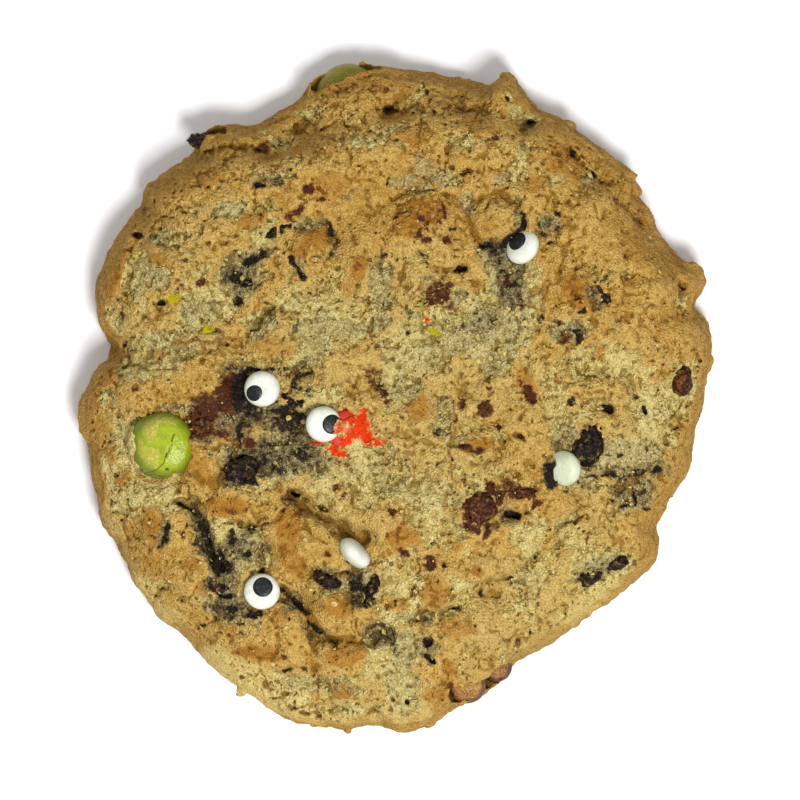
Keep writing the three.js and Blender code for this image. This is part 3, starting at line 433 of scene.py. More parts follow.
DARK = ovals(
    (-27.2, 42.1, 1.2, 0.6, 1, -10), (-20.9, 45.3, 0.7, 0.3), (-23.2, 43.6, 1, 0.5, 0.6, 20),
    (-22.2, 28.6, 0.4, 0.6, 0.8, -20), (-31.8, 23.8, 1.6, 1.4, 0.95, 40), (-29.6, 22.4, 1.4, 1.2, 0.75),
    (-31.4, 19, 1.2, 0.9, 1, -30), (-46.6, 18.6, 1, 0.5, 1, 10), (-31, 28.2, 0.5, 0.6),
    (-12.6, 28.6, 0.6, 0.9, 0.8), (-2.2, 28, 0.9, 1, 0.6), (13.2, 25.5, 1.3, 0.7, 1, 20),
    (11.8, 25, 0.5, 0.5), (32.2, 36.4, 0.8, 0.5, 0.9, -30), (30.6, 34.8, 1.2, 0.9, 0.55, 40),
    (29.4, 32.2, 0.8, 0.6, 0.7), (30.8, 30.6, 0.7, 0.5, 1, 30), (19.4, 15.4, 0.8, 0.4),
    (16.6, 15.6, 0.5, 0.4), (2.4, 12.6, 0.5, 0.4), (37, 17, 1, 0.5, 0.9, 10), (8.6, -6.8, 1, 0.8, 0.75),
    (35, -0.8, 0.7, 1, 0.7), (42.2, -2.4, 1.4, 0.8, 0.85, -30), (49.6, -2.8, 0.5, 1, 1, 20),
    (47.8, 0, 0.5, 0.5), (44.6, -11.6, 0.6, 0.5), (50.4, -11, 0.7, 0.5, 0.9, -30),
    (52.4, -14.4, 0.9, 0.7, 0.9), (47.6, -20.4, 0.5, 1.6, 1, 10), (43.4, -20.6, 0.6, 0.4),
    (45.8, -21.6, 1.4, 0.4, 0.8, 10), (50, -22.4, 1.2, 0.3), (35.8, -25.2, 0.4, 0.4),
    (45.8, -28.2, 0.4, 0.3), (-24.7, 5.7, 0.9, 0.5, 0.8), (-21.8, 5.6, 0.9, 0.5, 0.8),
    (-19.3, -1.6, 0.8, 0.9, 0.7), (-18.9, -3.9, 0.9, 0.7), (-17, 0.9, 1.3, 0.8, 0.6, -30),
    (-30.4, -12.9, 1.9, 1.6, 0.85), (-27, -13.2, 1.8, 1.2, 0.7, 20), (-29.8, -16.4, 2.6, 1, 1, -10),
    (-33, -16.4, 1.4, 0.5, 0.95), (-25.4, -9.6, 2.8, 0.5, 0.6, 10), (-23, -14.6, 1.6, 1, 0.6),
    (-20, -14.8, 0.7, 0.7, 0.8), (-45.6, -27.6, 0.8, 2.4, 0.95, -10), (-41.6, -25.6, 0.5, 0.6, 0.6),
    (-32.6, -28, 0.9, 1.6, 0.85), (-29.2, -31.2, 1, 0.7, 0.95), (-28.2, -26.4, 1.6, 0.6, 0.7),
    (-34.4, -32.6, 1.2, 2.6, 0.85, 15), (-32.6, -42.2, 1.1, 1, 0.95), (-27.6, -43.2, 2, 0.8, 0.95, 10),
    (-32.8, -39.4, 0.9, 0.4, 0.9, 20), (-30.6, -45.2, 0.9, 0.3, 0.8), (-38, -42, 0.5, 0.9, 0.6, 20),
    (-38.4, -45.6, 0.7, 0.4, 0.7), (-21.6, -54.4, 1.6, 0.4, 0.9, 15), (-18.2, -53.9, 0.8, 0.4, 0.8),
    (-7.8, -36.8, 1.3, 2.4, 0.65, -10), (-5.6, -41.2, 1.4, 1, 0.7), (-9.6, -35, 1.2, 0.6, 0.6),
    (6.4, -48.8, 0.9, 0.9, 0.85), (6.9, -52.2, 1.4, 0.5, 0.95, -40), (-2.6, -47.6, 1.8, 1.2, 0.4, -10),
    (0.2, -50.6, 1.6, 1.2, 0.5), (2.4, -61, 0.4, 0.7, 0.9, 20), (0.9, -66, 0.8, 0.4, 0.8),
    (0, -41, 0.4, 0.7, 0.9), (9.6, -33.6, 0.5, 0.4), (7.6, -29, 1, 0.3, 1, 10),
    (18, -31.2, 0.9, 0.3, 0.7, 40), (27.8, -31.8, 0.5, 0.5), (23, -36, 0.6, 0.4, 0.9, 30),
    (12, -42.1, 0.8, 0.25, 0.95), (16, -45.6, 0.3, 0.7, 0.9, -20), (28.4, -37.6, 0.5, 1.8, 0.4, 10),
    (23.5, -23.5, 1.7, 0.8, 1, -8), (-8.4, -28.2, 1.6, 0.9, 0.4, -20), (-1.2, 57.6, 0.9, 0.6, 0.6),
    (22, 59.8, 0.9, 0.35, 1, -40), (35.6, 48.6, 0.9, 0.9, 0.9), (39.6, 44.6, 0.5, 0.9, 0.8, 20),
    (44, 39.6, 0.9, 0.5, 0.6), (-26.8, 48.6, 0.9, 0.7, 0.4, -30), (43.8, 46.4, 0.6, 0.3),
    (12.2, 54.6, 0.5, 0.3, 0.9), (-46.2, -38, 0.5, 0.4, 0.5), (57.2, 21.6, 0.6, 0.5, 0.7),
    (-42.4, 41, 0.6, 0.3, 0.8), (11.4, 33.4, 0.9, 0.3, 0.9), (-4.2, 51.2, 0.9, 0.3, 0.7, -40),
    (-1.6, 42.6, 0.25, 1.2, 0.7, -20),
) + ovals(
    (-30.6, 1.4, 1.8, 4.2),
    ragged=0.3,
) + ovals(
    (-18.6, -11.6, 2.4, 1.5, 0.75, -20),
    ragged=0.5,
) + ovals(
    (-22.7, -5.2, 2.4, 1.6, 0.6),
    ragged=0.6,
) + strokes(
    (0.55, 1, -20.8, 27.2, -19.4, 25.6, -18.4, 24.2), (0.7, 1, -26, 28.6, -28.4, 27, -30, 26.4),
    (0.5, 0.75, -13.4, 34.6, -12.4, 32.4, -11.4, 30.6), (0.4, 0.9, 5.2, 28.8, 6.6, 26.8),
    (0.9, 0.8, 17.6, 30.4, 20, 28.6, 20.8, 26.4), (0.8, 0.6, 21, 25.6, 23.8, 21.4, 25, 19),
    (0.7, 1, 24.6, 36.4, 25.2, 34.2, 23, 31.2, 20.4, 29.6),
    (0.5, 1, 34.8, 13.4, 36.4, 13, 36.8, 11.4, 35.8, 10), (0.4, 0.7, 29.4, 17, 28.8, 15.4, 29.6, 13.8),
    (0.9, 1, 30.4, -13.4, 30.4, -15.6, 31.6, -17.4),
    (0.5, 0.8, 37, -15.6, 40, -15.6, 43, -15.8, 47, -16, 50, -14.8, 53, -14.2),
    (0.8, 1, -31, 3.8, -29, 5.2, -27.4, 5.2), (1.2, 0.9, -30, -2, -26, -2.7, -22, -2.7, -18.6, -4.4),
    (0.55, 0.8, -22.6, 0.4, -20.6, 1.8, -19.2, 4.6, -16.8, 5),
    (0.5, 0.9, -30.9, -5.3, -30.6, -9.6, -30.1, -14.6), (0.4, 0.9, -43, -21.2, -39.6, -23.2),
    (0.8, 0.8, -39, -24.4, -38.4, -27.6, -36.6, -31.4, -35.4, -34.2), (0.7, 0.95, -37.4, -36.8, -36, -38.4),
    (0.5, 1, -26.4, -34.4, -25.4, -35.6), (0.4, 0.8, -23, -37.4, -21.2, -39.6),
    (0.5, 0.9, -20.8, -40.6, -18.6, -41.6, -17.4, -43.4), (0.4, 0.8, -17.4, -45.2, -14.4, -47.6, -12.4, -49),
    (0.4, 0.7, 16.8, -38.2, 17.4, -39.4),
)
GREY = ovals(
    (-31, 24, 4.4, 4.2), (-26.6, 15, 2.4, 3.6, 0.6, -40), (14.2, 38.4, 1.6, 3.6, 0.85, 20),
    (21.4, 43.4, 2.6, 1.2, 0.75, 20), (19, 28.2, 3, 2.4, 0.9, -30), (30.6, 34.6, 2.6, 2.2, 0.85),
    (34, 12.8, 3.8, 2.6, 0.95, 10), (-25, -11.6, 7.6, 4.6), (-19.4, -9, 4.4, 5.4, 0.9),
    (46.6, -19.8, 4.8, 3.4, 0.95), (33, -7.4, 2.4, 3.6, 0.7, -20), (37, -17.6, 4, 2, 0.7),
    (-30.4, -30, 4.6, 3.6, 0.9), (-34.2, -35, 2.6, 3.6, 0.95, 10), (-32, -42, 4.4, 3, 0.9),
    (-38.6, -26.6, 1.6, 4, 0.9, 15), (-7.4, -37.4, 2.4, 4.4, 0.9), (-4, -47, 3.6, 2.8, 0.9),
    (5.4, -43.6, 4, 1.2, 0.9, 6), (-46.2, 31.6, 2.6, 1.8, 0.9), (-47.6, 23.6, 2.8, 2.2, 0.8),
    (40.6, -32.8, 4.6, 1.6, 0.9, 15), (-21, -40.4, 2, 1.6, 0.8, -40), (-43.6, -2.4, 3.6, 1.4, 0.8),
    (26.4, 54, 2, 1.6, 0.6), (25, -36.4, 2, 1.4, 0.6),
    ragged=0.4,
) + ovals(
    (22.6, 22.6, 4.4, 6.6, 0.95, 20),
    ragged=0.45,
) + ovals(
    (-38.6, 17.4, 4, 2.4, 0.95), (-42, 11.6, 7.4, 3.4, 0.6), (-16, 11.6, 4.4, 5, 0.65),
    (-2.8, 20.6, 2.2, 8.6, 0.8), (-11, 13.6, 4.6, 2.4, 0.6), (5.6, 43, 6.4, 2.6, 0.75),
    (17.4, 14, 6.4, 4.6, 0.95), (20, 8, 4.4, 4.6, 0.8), (1.6, 1.6, 3.4, 2.6, 0.7, 20),
    (9.6, -3.6, 2.4, 4.4, 0.75), (-15.6, -13.4, 4, 2.6, 0.8), (45, -12, 7.4, 3.4, 0.85, 8),
    (1.6, -50, 4, 3.4, 0.7), (-16, -57, 9, 1.8, 0.6, -8), (1, -57.6, 4.4, 5.4, 0.55),
    (-33, 37, 3.6, 1.8, 0.75, 20), (-25.6, 43.4, 4.6, 1.8, 0.5), (17.6, -31.4, 3.4, 1.6, 0.5),
    (5, 47, 2.2, 1.8, 0.6), (-37.4, -40.4, 2.2, 3, 0.6), (28.4, -36.6, 2.6, 3, 0.5),
    (-11, -36.4, 3, 2.4, 0.6), (12.6, -21, 2.4, 2.4, 0.4), (-56, 15.6, 2.4, 4, 0.4),
    (-52.4, -22.4, 2, 2.4, 0.4), (-31.6, 5, 4.4, 4, 0.5), (33, -24.6, 4, 1.4, 0.4, 20),
    (6, 58.6, 8, 2.4, 0.35), (19.4, -47.6, 3, 2, 0.35),
    ragged=0.5,
) + ovals(
    (9, 12, 6.4, 5.4, 0.6), (1.6, 8, 5.4, 7, 0.4), (-8.4, -15, 5, 3.4, 0.5), (-2, -14.4, 4.6, 5.6, 0.55),
    (8, -19, 5, 4, 0.4),
    ragged=0.6,
) + strokes(
    (1.1, 0.95, -20, 33.6, -17.4, 34.4, -14.6, 34.6),
)
# Dough that has kept its pale bloom; the first oval, low on the rim's bottom side, is partly painted light
# where that side faces the key light.
PALE = ovals(
    (-30, -57, 16, 4, 0.9, -20),
    ragged=0.4,
) + ovals(
    (0, 2, 26, 24, 0.8), (-42, 14, 8, 6, 0.6), (28, -40, 16, 12, 0.9, 30), (-5, -60, 12, 5, 0.7),
    (-46, -46, 8, 5, 0.6, -40), (44, -12, 10, 14, 0.8), (8, -46, 12, 9, 0.6), (12, -14, 12, 9),
    (-40, 30, 12, 9, 0.4), (-30, -40, 16, 9, 0.3), (40, 6, 10, 7, 0.4),
    ragged=0.5,
)
# Dough darkened by melted chocolate.
SOOT = ovals(
    (-31, 0.6, 4.4, 6.2, 0.95), (-36.6, -3.6, 6.2, 4.2, 0.85, 35), (-27, -12.4, 7, 3.4, 0.85),
    (-18.4, -10.4, 4.2, 4.2, 0.75), (-31.6, -16.2, 4.2, 2, 0.8), (31, -15.6, 1.8, 3.4, 0.85),
    (-46, -27.4, 1.6, 3.4, 0.75, -10), (-34.4, -33.4, 3, 4.6, 0.8, 15), (-35, -38, 4, 2, 0.7, -30),
    (-7.8, -37.6, 2.2, 4.4, 0.75, -10), (-13, -36, 4, 2.6, 0.6, -20), (20.6, 29.4, 4.4, 2, 0.75, -20),
    (24.8, 34.6, 1.2, 4, 0.7, 15),
    ragged=0.4,
) + ovals(
    (-38.4, -27, 2.4, 6, 0.75, 15), (-32, -42, 5, 2.4, 0.75),
    ragged=0.45,
) + ovals(
    (-25, -3.8, 8, 2.6, 0.8, -8), (-19, 3.2, 4.4, 3.2, 0.55, 30), (-31, -9.6, 2.6, 6, 0.7),
    (-15.4, -13.6, 3.6, 2.4, 0.5), (34.6, -10, 3.2, 4.4, 0.5), (46.6, -18.8, 5, 3.6, 0.62, 10),
    (-31, 23.4, 3.6, 3, 0.6), (-27.6, 27.6, 3.6, 1.4, 0.6, 25), (-30, -30, 3.6, 2.8, 0.7),
    (-21.6, -40.6, 3.2, 1.8, 0.6, -40), (-16, -46.4, 3, 2, 0.6, -40), (22.6, 23, 3, 5.6, 0.72, 15),
    (30.4, 33.4, 2.6, 2.6, 0.62), (35.4, 12.4, 3.4, 2.4, 0.62), (39.4, 19.4, 1.6, 3.2, 0.7, 20),
    (40.6, -34.6, 5.6, 1.8, 0.6, 20), (-2.6, -47.2, 3.4, 2.2, 0.6, -20), (5.8, -46.4, 2.2, 3, 0.55),
    (6.8, -51, 2, 2.4, 0.6, -30), (-25.6, 42.6, 3.6, 1.2, 0.6), (-21.8, 45, 2.4, 0.9, 0.5),
    (-19.4, 25.4, 1.2, 2.8, 0.6, -30), (-12.4, 31, 1.2, 3.4, 0.5, 10), (52.4, -14, 2, 1.4, 0.7),
    ragged=0.5,
) + ovals(
    (-24, 5.6, 4.2, 1.6, 0.5), (45, -14.8, 8.6, 1.6, 0.55), (17.2, 14.6, 3.4, 1.6, 0.5),
    (9.4, 20.4, 4.6, 3.4, 0.55, -20), (18.4, -24, 5, 3.4, 0.45, 20), (-20.4, -20.4, 3.2, 2, 0.5, -30),
    (-8, 40.4, 5, 1.2, 0.3, 10),
    ragged=0.6,
)
# Dough painted palest, low on the rim: partly the dough's own pale colour, partly painted light, mostly on
# the bottom side, which faces the key light.
PALE_AND_LIT_RIM = ovals(
    (-31, -56, 12, 4.2, 0.7, -35), (-18, -63.4, 8, 2.2, 0.5, -12),
    ragged=0.5,
) + ovals(
    (-48, -42, 7, 3, 0.5, -52), (-56, -26, 5, 1.8, 0.4, -72), (2, -62.6, 6, 2.6, 0.5, 5),
    (38, -41, 7, 2.4, 0.5, 42), (-52.4, 14.4, 3, 4, 0.4),
    ragged=0.6,
)
# Dough that laps over a sweet.
LIPS = ovals(
    (20.4, 34, 3.4, 3.2, 1, 20),
    ragged=0.2,
) + ovals(
    (29.9, -14.4, 1.9, 3.6),
    ragged=0.3,
) + ovals(
    (27.6, 35.2, 2.4, 1.4, 1, -40),
    ragged=0.4,
) + ovals(
    (-6.4, -7, 4.4, 4.6, 0.66, 10),
    ragged=0.9,
) + strokes(
    (2.4, 1, -53.8, -0.6, -53.7, -8.4, -53.6, -19),
    ragged=0.15,
) + strokes(
    (2.6, 1, -53, 0.2, -48, 0.6, -42, -0.3),
    ragged=0.25,
) + strokes(
    (2.1, 1, -52, -18.6, -47.4, -18.4, -42.8, -17.4),
    ragged=0.3,
) + strokes(
    (1.5, 1, -39.4, -3, -39.2, -9, -39.6, -16),
    ragged=0.4,
)
# Where nothing lies over a sweet or a chunk at the rim.
BARED = strokes(
    (1.5, 1, -17.4, 61.6, -15.2, 63.6, -11.6, 65), (1.3, 1, 11.6, -59.6, 16, -58.9, 20, -56.4, 22.8, -54),
    ragged=0.2,
) + strokes(
    (1.3, 1, -11.6, 65, -7.4, 66.4, -3, 66.8), (1.2, 1, -42, 52.4, -37, 53.8, -31.6, 54.6),
    ragged=0.3,
)
# Where the rim stands out past the solid's facets, or falls short of them; power in millimetres.
RIM_OUT = ovals(
    (-0.1, 65.6, 3, 3, 0.6), (-9, 67.2, 4.6, 3, 1.2), (-14.8, 65.2, 2.6, 3, 1.2, 30),
    (-17.2, 62.2, 2.4, 3, 1.1, 30), (-22.3, 57.8, 2.4, 3, 0.7, 40), (-33.4, 54.4, 4.4, 3),
    (-38.7, 53.2, 2, 3, 0.7), (44.3, -39.8, 3, 3, 0.6), (59.1, -9.2, 3, 3, 0.6),
    ragged=0.1,
)
RIM_IN = ovals(
    (-56.7, 9, 3, 3, 1.2), (-61.3, 3.4, 3, 3, 0.8), (61.4, 20, 2.4, 2.4, 0.9), (-29.9, 55.6, 2.4, 2.4, 0.6),
    (-41, 51.4, 2, 2, 0.6), (26, -53, 6, 2.6, 0.7, 40), (-56.5, -28.6, 3, 3, 0.9), (-53.3, -34.4, 3, 3, 0.7),
    (-49.9, -40.2, 3, 3), (-14.1, -66, 3, 3, 0.8), (52.1, -26.6, 3, 3, 0.7),
    ragged=0.1,
)
RED_STAIN = ovals(
    (-9.4, -8.6, 3, 1.4, 0.95, 20), (-11.6, -10.8, 2, 0.9, 0.8, -20),
    ragged=0.5,
) + ovals(
    (6.2, 15.2, 0.9, 0.7, 0.7, 30),
    ragged=0.6,
) + ovals(
    (-6.6, -5.6, 1.5, 2, 1, -20), (-5, -8.4, 1.8, 1.1, 1, -20),
    ragged=0.7,
) + ovals(
    (-9.8, -4.2, 1.6, 2.4, 0.7), (-7.6, -7.2, 3.6, 3, 0.6), (-6.2, -2.6, 0.9, 1, 0.8),
    ragged=0.8,
) + strokes(
    (0.55, 1, -16.4, -8.7, -13, -8.9, -9.6, -9.4),
)
YELLOW_STAIN = ovals(
    (-44, 19.6, 1.7, 0.8, 0.95, 10), (-37.4, 13.4, 1.4, 0.8, 0.9, 20), (-48.2, 17.8, 0.8, 0.5, 0.6),
    (7.6, 13, 1.4, 0.7, 0.95, -10), (5.2, 18, 1.4, 1.6, 0.35), (-16.2, 60.4, 2, 0.8, 0.8, 30),
    (-12.4, 63.6, 2.6, 1.2, 0.5, 30),
)

# Small knobs of dough that stand out of the rim: place, height of the middle, half sizes, turn.
KNOBS = (
    ((21.8, 61.8, 9.0), (1.7, 2.9, 2.6), -8), ((22.3, 63.4, 10.0), (0.9, 1.1, 1.4), -30),
    ((62.2, 7.0, 6.0), (1.8, 2.6, 2.4), 0), ((47.4, 42.4, 7.6), (1.4, 2.2, 2.2), 45),
    ((46.6, 44.2, 8.2), (2.2, 1.2, 2.6), -12), ((59.8, 24.6, 8.6), (1.7, 2.2, 3.0), 10),
    ((59.9, 20.4, 7.6), (1.6, 1.6, 2.6), 0), ((-50.2, 36.4, 8.0), (1.7, 1.0, 2.2), 20),
    ((-48.8, 41.4, 7.0), (1.2, 1.6, 2.4), 0), ((-61.6, -6.6, 6.6), (1.4, 1.6, 2.4), 0),
    ((57.8, -13.0, 6.8), (1.2, 1.6, 2.2), 20), ((51.6, -29.6, 6.6), (1.2, 1.4, 2.4), 0),
    ((-3.4, 65.0, 7.0), (2.4, 1.0, 2.0), -10), ((-17.4, 58.6, 8.0), (1.6, 1.2, 2.2), 40),
    ((6.6, -65.2, 6.8), (1.6, 1.4, 2.4), 0), ((-10.0, -66.2, 6.4), (1.8, 1.2, 2.2), 0),
    ((34.8, 54.4, 7.6), (1.6, 1.2, 2.2), -30), ((-30.4, -58.4, 7.0), (1.8, 1.2, 2.0), 40),
)


# ---------- meshes


def link_mesh(name: str, points: Array, faces: Array, material: bpy.types.Material) -> bpy.types.Object:
    """Makes an object from points in metres.

    Args:
        name: The piece's name.
        points: N by 3 places.
        faces: M by 3 or M by 4 point numbers, anticlockwise seen from outside.
        material: Its finish.

    Returns:
        The new object, at the origin.
    """
    corners = faces.shape[1]
    mesh = bpy.data.meshes.new(name)
    mesh.vertices.add(len(points))
    mesh.vertices.foreach_set("co", points.astype(np.float32).ravel())
    mesh.loops.add(faces.size)
    mesh.loops.foreach_set("vertex_index", faces.astype(np.int32).ravel())
    mesh.polygons.add(len(faces))
    mesh.polygons.foreach_set("loop_start", np.arange(0, faces.size, corners, dtype=np.int32))
    mesh.update(calc_edges=True)
    mesh.polygons.foreach_set("use_smooth", np.ones(len(faces), bool))
    mesh.materials.append(material)
    piece = bpy.data.objects.new(name, mesh)
    bpy.context.scene.collection.objects.link(piece)
    return piece


def points_of(mesh: bpy.types.Mesh) -> Array:
    """Reads a mesh's points, in metres."""
    flat = np.zeros(len(mesh.vertices) * 3, np.float32)
    mesh.vertices.foreach_get("co", flat)
    return flat.reshape(-1, 3).astype(float)


def normals_of(mesh: bpy.types.Mesh) -> Array:
    """Reads the directions in which a mesh's points face."""
    flat = np.zeros(len(mesh.vertices) * 3, np.float32)
    mesh.vertices.foreach_get("normal", flat)
    return flat.reshape(-1, 3)


def mark_points(mesh: bpy.types.Mesh, masks: dict[str, Array]) -> None:
    """Gives every point of a mesh its masks, one number each."""
    for name, values in masks.items():
        layer = mesh.attributes.new(name, "FLOAT", "POINT")
        layer.data.foreach_set("value", values.astype(np.float32))


def bake_modifiers(piece: bpy.types.Object) -> None:
    """Replaces a piece's mesh by what its modifiers make of it, and removes them."""
    made = bpy.data.meshes.new_from_object(
        piece.evaluated_get(bpy.context.evaluated_depsgraph_get())
    )
    piece.modifiers.clear()
    old, piece.data = piece.data, made
    name = old.name
    bpy.data.meshes.remove(old)
    made.name = name


def thin_out(piece: bpy.types.Object, most_triangles: int) -> None:
    """Thins a piece to so many triangles, the evenest places first."""
    triangles = sum(len(face.vertices) - 2 for face in piece.data.polygons)
    if triangles > most_triangles:
        thinning = piece.modifiers.new("thinning", "DECIMATE")
        thinning.ratio = most_triangles / triangles
        bake_modifiers(piece)


def solid_tree(name: str) -> BVHTree:
    """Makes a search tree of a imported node's faces, in millimetres."""
    mesh = frame["nodes"][name].data
    return BVHTree.FromPolygons(
        [tuple(p / MM) for p in points_of(mesh)], [tuple(f.vertices) for f in mesh.polygons]
    )


def node_box(name: str) -> tuple[Array, Array]:
    """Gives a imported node's lowest and highest corner, in millimetres."""
    low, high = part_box(name)
    return np.array(low) / MM, np.array(high) / MM


def give(piece: bpy.types.Object, slot: str, *nodes: str) -> None:
    """Rides a finished piece on the cookie, hides the nodes it stands for and logs its slot."""
    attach(piece, BODY)
    if nodes:
        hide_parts(*nodes)
    triangles = sum(len(p.vertices) - 2 for p in piece.data.polygons)
    LOG.info("%s: %d triangles, slot %s", piece.name, triangles, slot)


# ---------- volumes


def soften(volume: Array, width: float) -> Array:
    """Blurs a volume along its axes.

    Args:
        volume: The volume.
        width: Standard width of the blur, in cells.

    Returns:
        The blurred volume.
    """
    reach = max(1, math.ceil(2.6 * width))
    weights = np.exp(-0.5 * (np.arange(-reach, reach + 1) / width) ** 2)
    weights /= weights.sum()
    for axis in range(volume.ndim):
        margins = [(reach, reach) if a == axis else (0, 0) for a in range(volume.ndim)]
        padded = np.pad(volume, margins, mode="edge")
        total = np.zeros_like(volume)
        for n, weight in enumerate(weights):
            cut = [slice(None)] * volume.ndim
            cut[axis] = slice(n, n + volume.shape[axis])
            total += np.float32(weight) * padded[tuple(cut)]
        volume = total
    return volume


def surface_of(depth: Array, axes: list[Array]) -> tuple[Array, Array]:
    """Draws the skin of a volume where it crosses zero, one point in each crossed cell.

    Args:
        depth: The volume, positive inside.
        axes: The places of its cells along each axis, evenly spaced.

    Returns:
        Points in the axes' unit, and faces of four that look outwards, of the largest skin only.
    """
    inside = depth > 0
    corners = [(a, b, c) for a in (0, 1) for b in (0, 1) for c in (0, 1)]
    size = np.array(depth.shape) - 1
    count = sum(inside[a:a + size[0], b:b + size[1], c:c + size[2]].astype(np.int8) for a, b, c in corners)
    cells = np.stack(np.nonzero((count > 0) & (count < 8)), 1)
    number = np.full(size, -1, np.int64)
    number[tuple(cells.T)] = np.arange(len(cells))
    total, crossings = np.zeros((len(cells), 3)), np.zeros(len(cells))
    for start in corners:
        for axis in range(3):
            if start[axis]:
                continue
            end = list(start)
            end[axis] = 1
            first = depth[tuple((cells + start).T)]
            last = depth[tuple((cells + end).T)]
            crossed = (first > 0) != (last > 0)
            share = np.where(crossed, first / np.where(crossed, first - last, 1), 0)
            place = np.array(start, float)[None, :].repeat(len(cells), 0)
            place[:, axis] = share
            total += place * crossed[:, None]
            crossings += crossed
    steps = np.array([ax[1] - ax[0] for ax in axes])
    points = np.array([ax[0] for ax in axes]) + (cells + total / crossings[:, None]) * steps
    faces = []
    for axis in range(3):
        others = [(axis + 1) % 3, (axis + 2) % 3]
        low = [slice(1, -1)] * 3
        low[axis] = slice(0, -1)
        high = list(low)
        high[axis] = slice(1, None)
        low, high = tuple(low), tuple(high)
        for outward, flips in ((inside[low] & ~inside[high], False), (~inside[low] & inside[high], True)):
            spots = np.stack(np.nonzero(outward), 1)
            spots[:, others] += 1
            quad = []
            for b, c in ((-1, -1), (0, -1), (0, 0), (-1, 0)):
                shifted = spots.copy()
                shifted[:, others[0]] += b
                shifted[:, others[1]] += c
                quad.append(number[tuple(shifted.T)])
            quad = np.stack(quad, 1)
            faces.append(quad[:, ::-1] if flips else quad)
    return largest_part(points, np.concatenate(faces))


def largest_part(points: Array, faces: Array) -> tuple[Array, Array]:
    """Keeps the largest joined part of a mesh, so that no sealed pore or loose grain is left."""
    label = np.arange(len(points))
    while True:
        lowest = label[faces].min(1)
        new = label.copy()
        for corner in range(faces.shape[1]):
            np.minimum.at(new, faces[:, corner], lowest)
        new = new[new]
        if (new == label).all():
            break
        label = new
    keep = label == np.bincount(label).argmax()
    renumber = np.cumsum(keep) - 1
    return points[keep], renumber[faces[keep[faces[:, 0]]]]


# ---------- shader building


class Nodes:
    """Lays out and joins the nodes of one tree.

    Attributes:
        tree: The node tree.
        place: The socket that gives the place on the piece.
    """

    def __init__(self, tree: bpy.types.NodeTree) -> None:
        """Keeps the tree; whoever owns it sets the place."""
        self.tree = tree
        self.place: Socket | None = None

    def node(self, kind: str, feeds: Feeds | None = None, **settings: object) -> Outputs:
        """Adds a node, then sets or joins its inputs.

        Args:
            kind: Blender's name for it.
            feeds: Values or sockets for its inputs, by name or number.
            **settings: Its settings.

        Returns:
            Its outputs.
        """
        made = self.tree.nodes.new(kind)
        for name, value in settings.items():
            setattr(made, name, value)
        for name, value in (feeds or {}).items():
            self.put(value, made.inputs[name])
        return made.outputs

    def put(self, value: object, into: Socket) -> None:
        """Joins a socket, or sets a number or a colour."""
        if isinstance(value, bpy.types.NodeSocket):
            self.tree.links.new(value, into)
        elif isinstance(value, tuple) and into.type == "RGBA":
            into.default_value = (*value, 1.0)
        else:
            into.default_value = value

    def attribute(self, name: str) -> Socket:
        """Reads a mask that the mesh carries."""
        return self.node("ShaderNodeAttribute", attribute_name=name)["Fac"]

    def noise(self, across: float, detail: float = 3.0, rough: float = 0.6) -> Socket:
        """Adds noise whose lumps are so many metres across; its value."""
        feeds = {"Scale": 1 / across, "Detail": detail, "Roughness": rough, "Vector": self.place}
        return self.node("ShaderNodeTexNoise", feeds)["Fac"]

    def ramp(self, value: Socket, low: float, high: float, start: float = 0.0, end: float = 1.0) -> Socket:
        """Turns low..high of a value into start..end, smoothly and clamped."""
        names = ("Value", "From Min", "From Max", "To Min", "To Max")
        feeds = dict(zip(names, (value, low, high, start, end)))
        return self.node("ShaderNodeMapRange", feeds, interpolation_type="SMOOTHSTEP")["Result"]

    def math(self, kind: str, first: object, second: object, third: object = 0.0) -> Socket:
        """Works out one value from others."""
        return self.node("ShaderNodeMath", {0: first, 1: second, 2: third}, operation=kind)[0]

    def times(self, first: object, second: object) -> Socket:
        """Multiplies two values."""
        return self.math("MULTIPLY", first, second)

    def shifted(self, kind: str, feeds: Feeds) -> Socket:
        """Works out one vector from others."""
        return self.node("ShaderNodeVectorMath", feeds, operation=kind)[0]

    def torn(self, mask: str, by: Socket, stray: float = 0.9, soft: float = 0.1) -> Socket:
        """Gives a mask of the mesh a ragged edge, where noise lifts it over a half."""
        lifted = self.math("MULTIPLY_ADD", by, stray, self.attribute(mask))
        level = 0.5 + 0.5 * stray
        return self.ramp(lifted, level - soft, level + soft)

    def blend(self, share: object, under: object, over: object) -> Socket:
        """Lays one colour over another, by a share."""
        share_in, under_in, over_in = 0, 6, 7
        feeds = {share_in: share, under_in: under, over_in: over}
        return self.node("ShaderNodeMix", feeds, data_type="RGBA")[2]

    def bump(self, height: Socket, depth: float) -> Socket:
        """Turns a height from 0 to 1 into a normal, so many metres deep."""
        return self.node("ShaderNodeBump", {"Distance": depth, "Height": height})["Normal"]

    def grain(self, across: float) -> tuple[Socket, Socket, Socket]:
        """Places the shared grain group.

        Args:
            across: Size of one grain in metres.

        Returns:
            Masks of the light grains and of the gaps between them, which the materials use for painted
            highlight and painted shade, and their height.
        """
        feeds = {"Fineness": 1 / across, "Vector": self.place}
        made = self.node("ShaderNodeGroup", feeds, node_tree=grain_tree())
        return made["Light"], made["Gaps"], made["Height"]

    def pinholes(self, across: float) -> Socket:
        """Marks small ragged holes of mixed sizes, at most one in each cell so many metres across."""
        stray = self.node("ShaderNodeTexNoise", {"Vector": self.place, "Scale": 2.2 / across, "Detail": 1.0})
        push = {0: stray["Color"], 1: (0.5 * across,) * 3, 2: self.place}
        feeds = {"Vector": self.shifted("MULTIPLY_ADD", push), "Scale": 1 / across}
        cells = self.node("ShaderNodeTexVoronoi", feeds)
        own = self.node("ShaderNodeSeparateColor", {0: cells["Color"]})[0]
        size = self.times(self.math("POWER", own, 2.5), 0.42)
        return self.ramp(self.math("SUBTRACT", cells["Distance"], size), 0.02, -0.08)


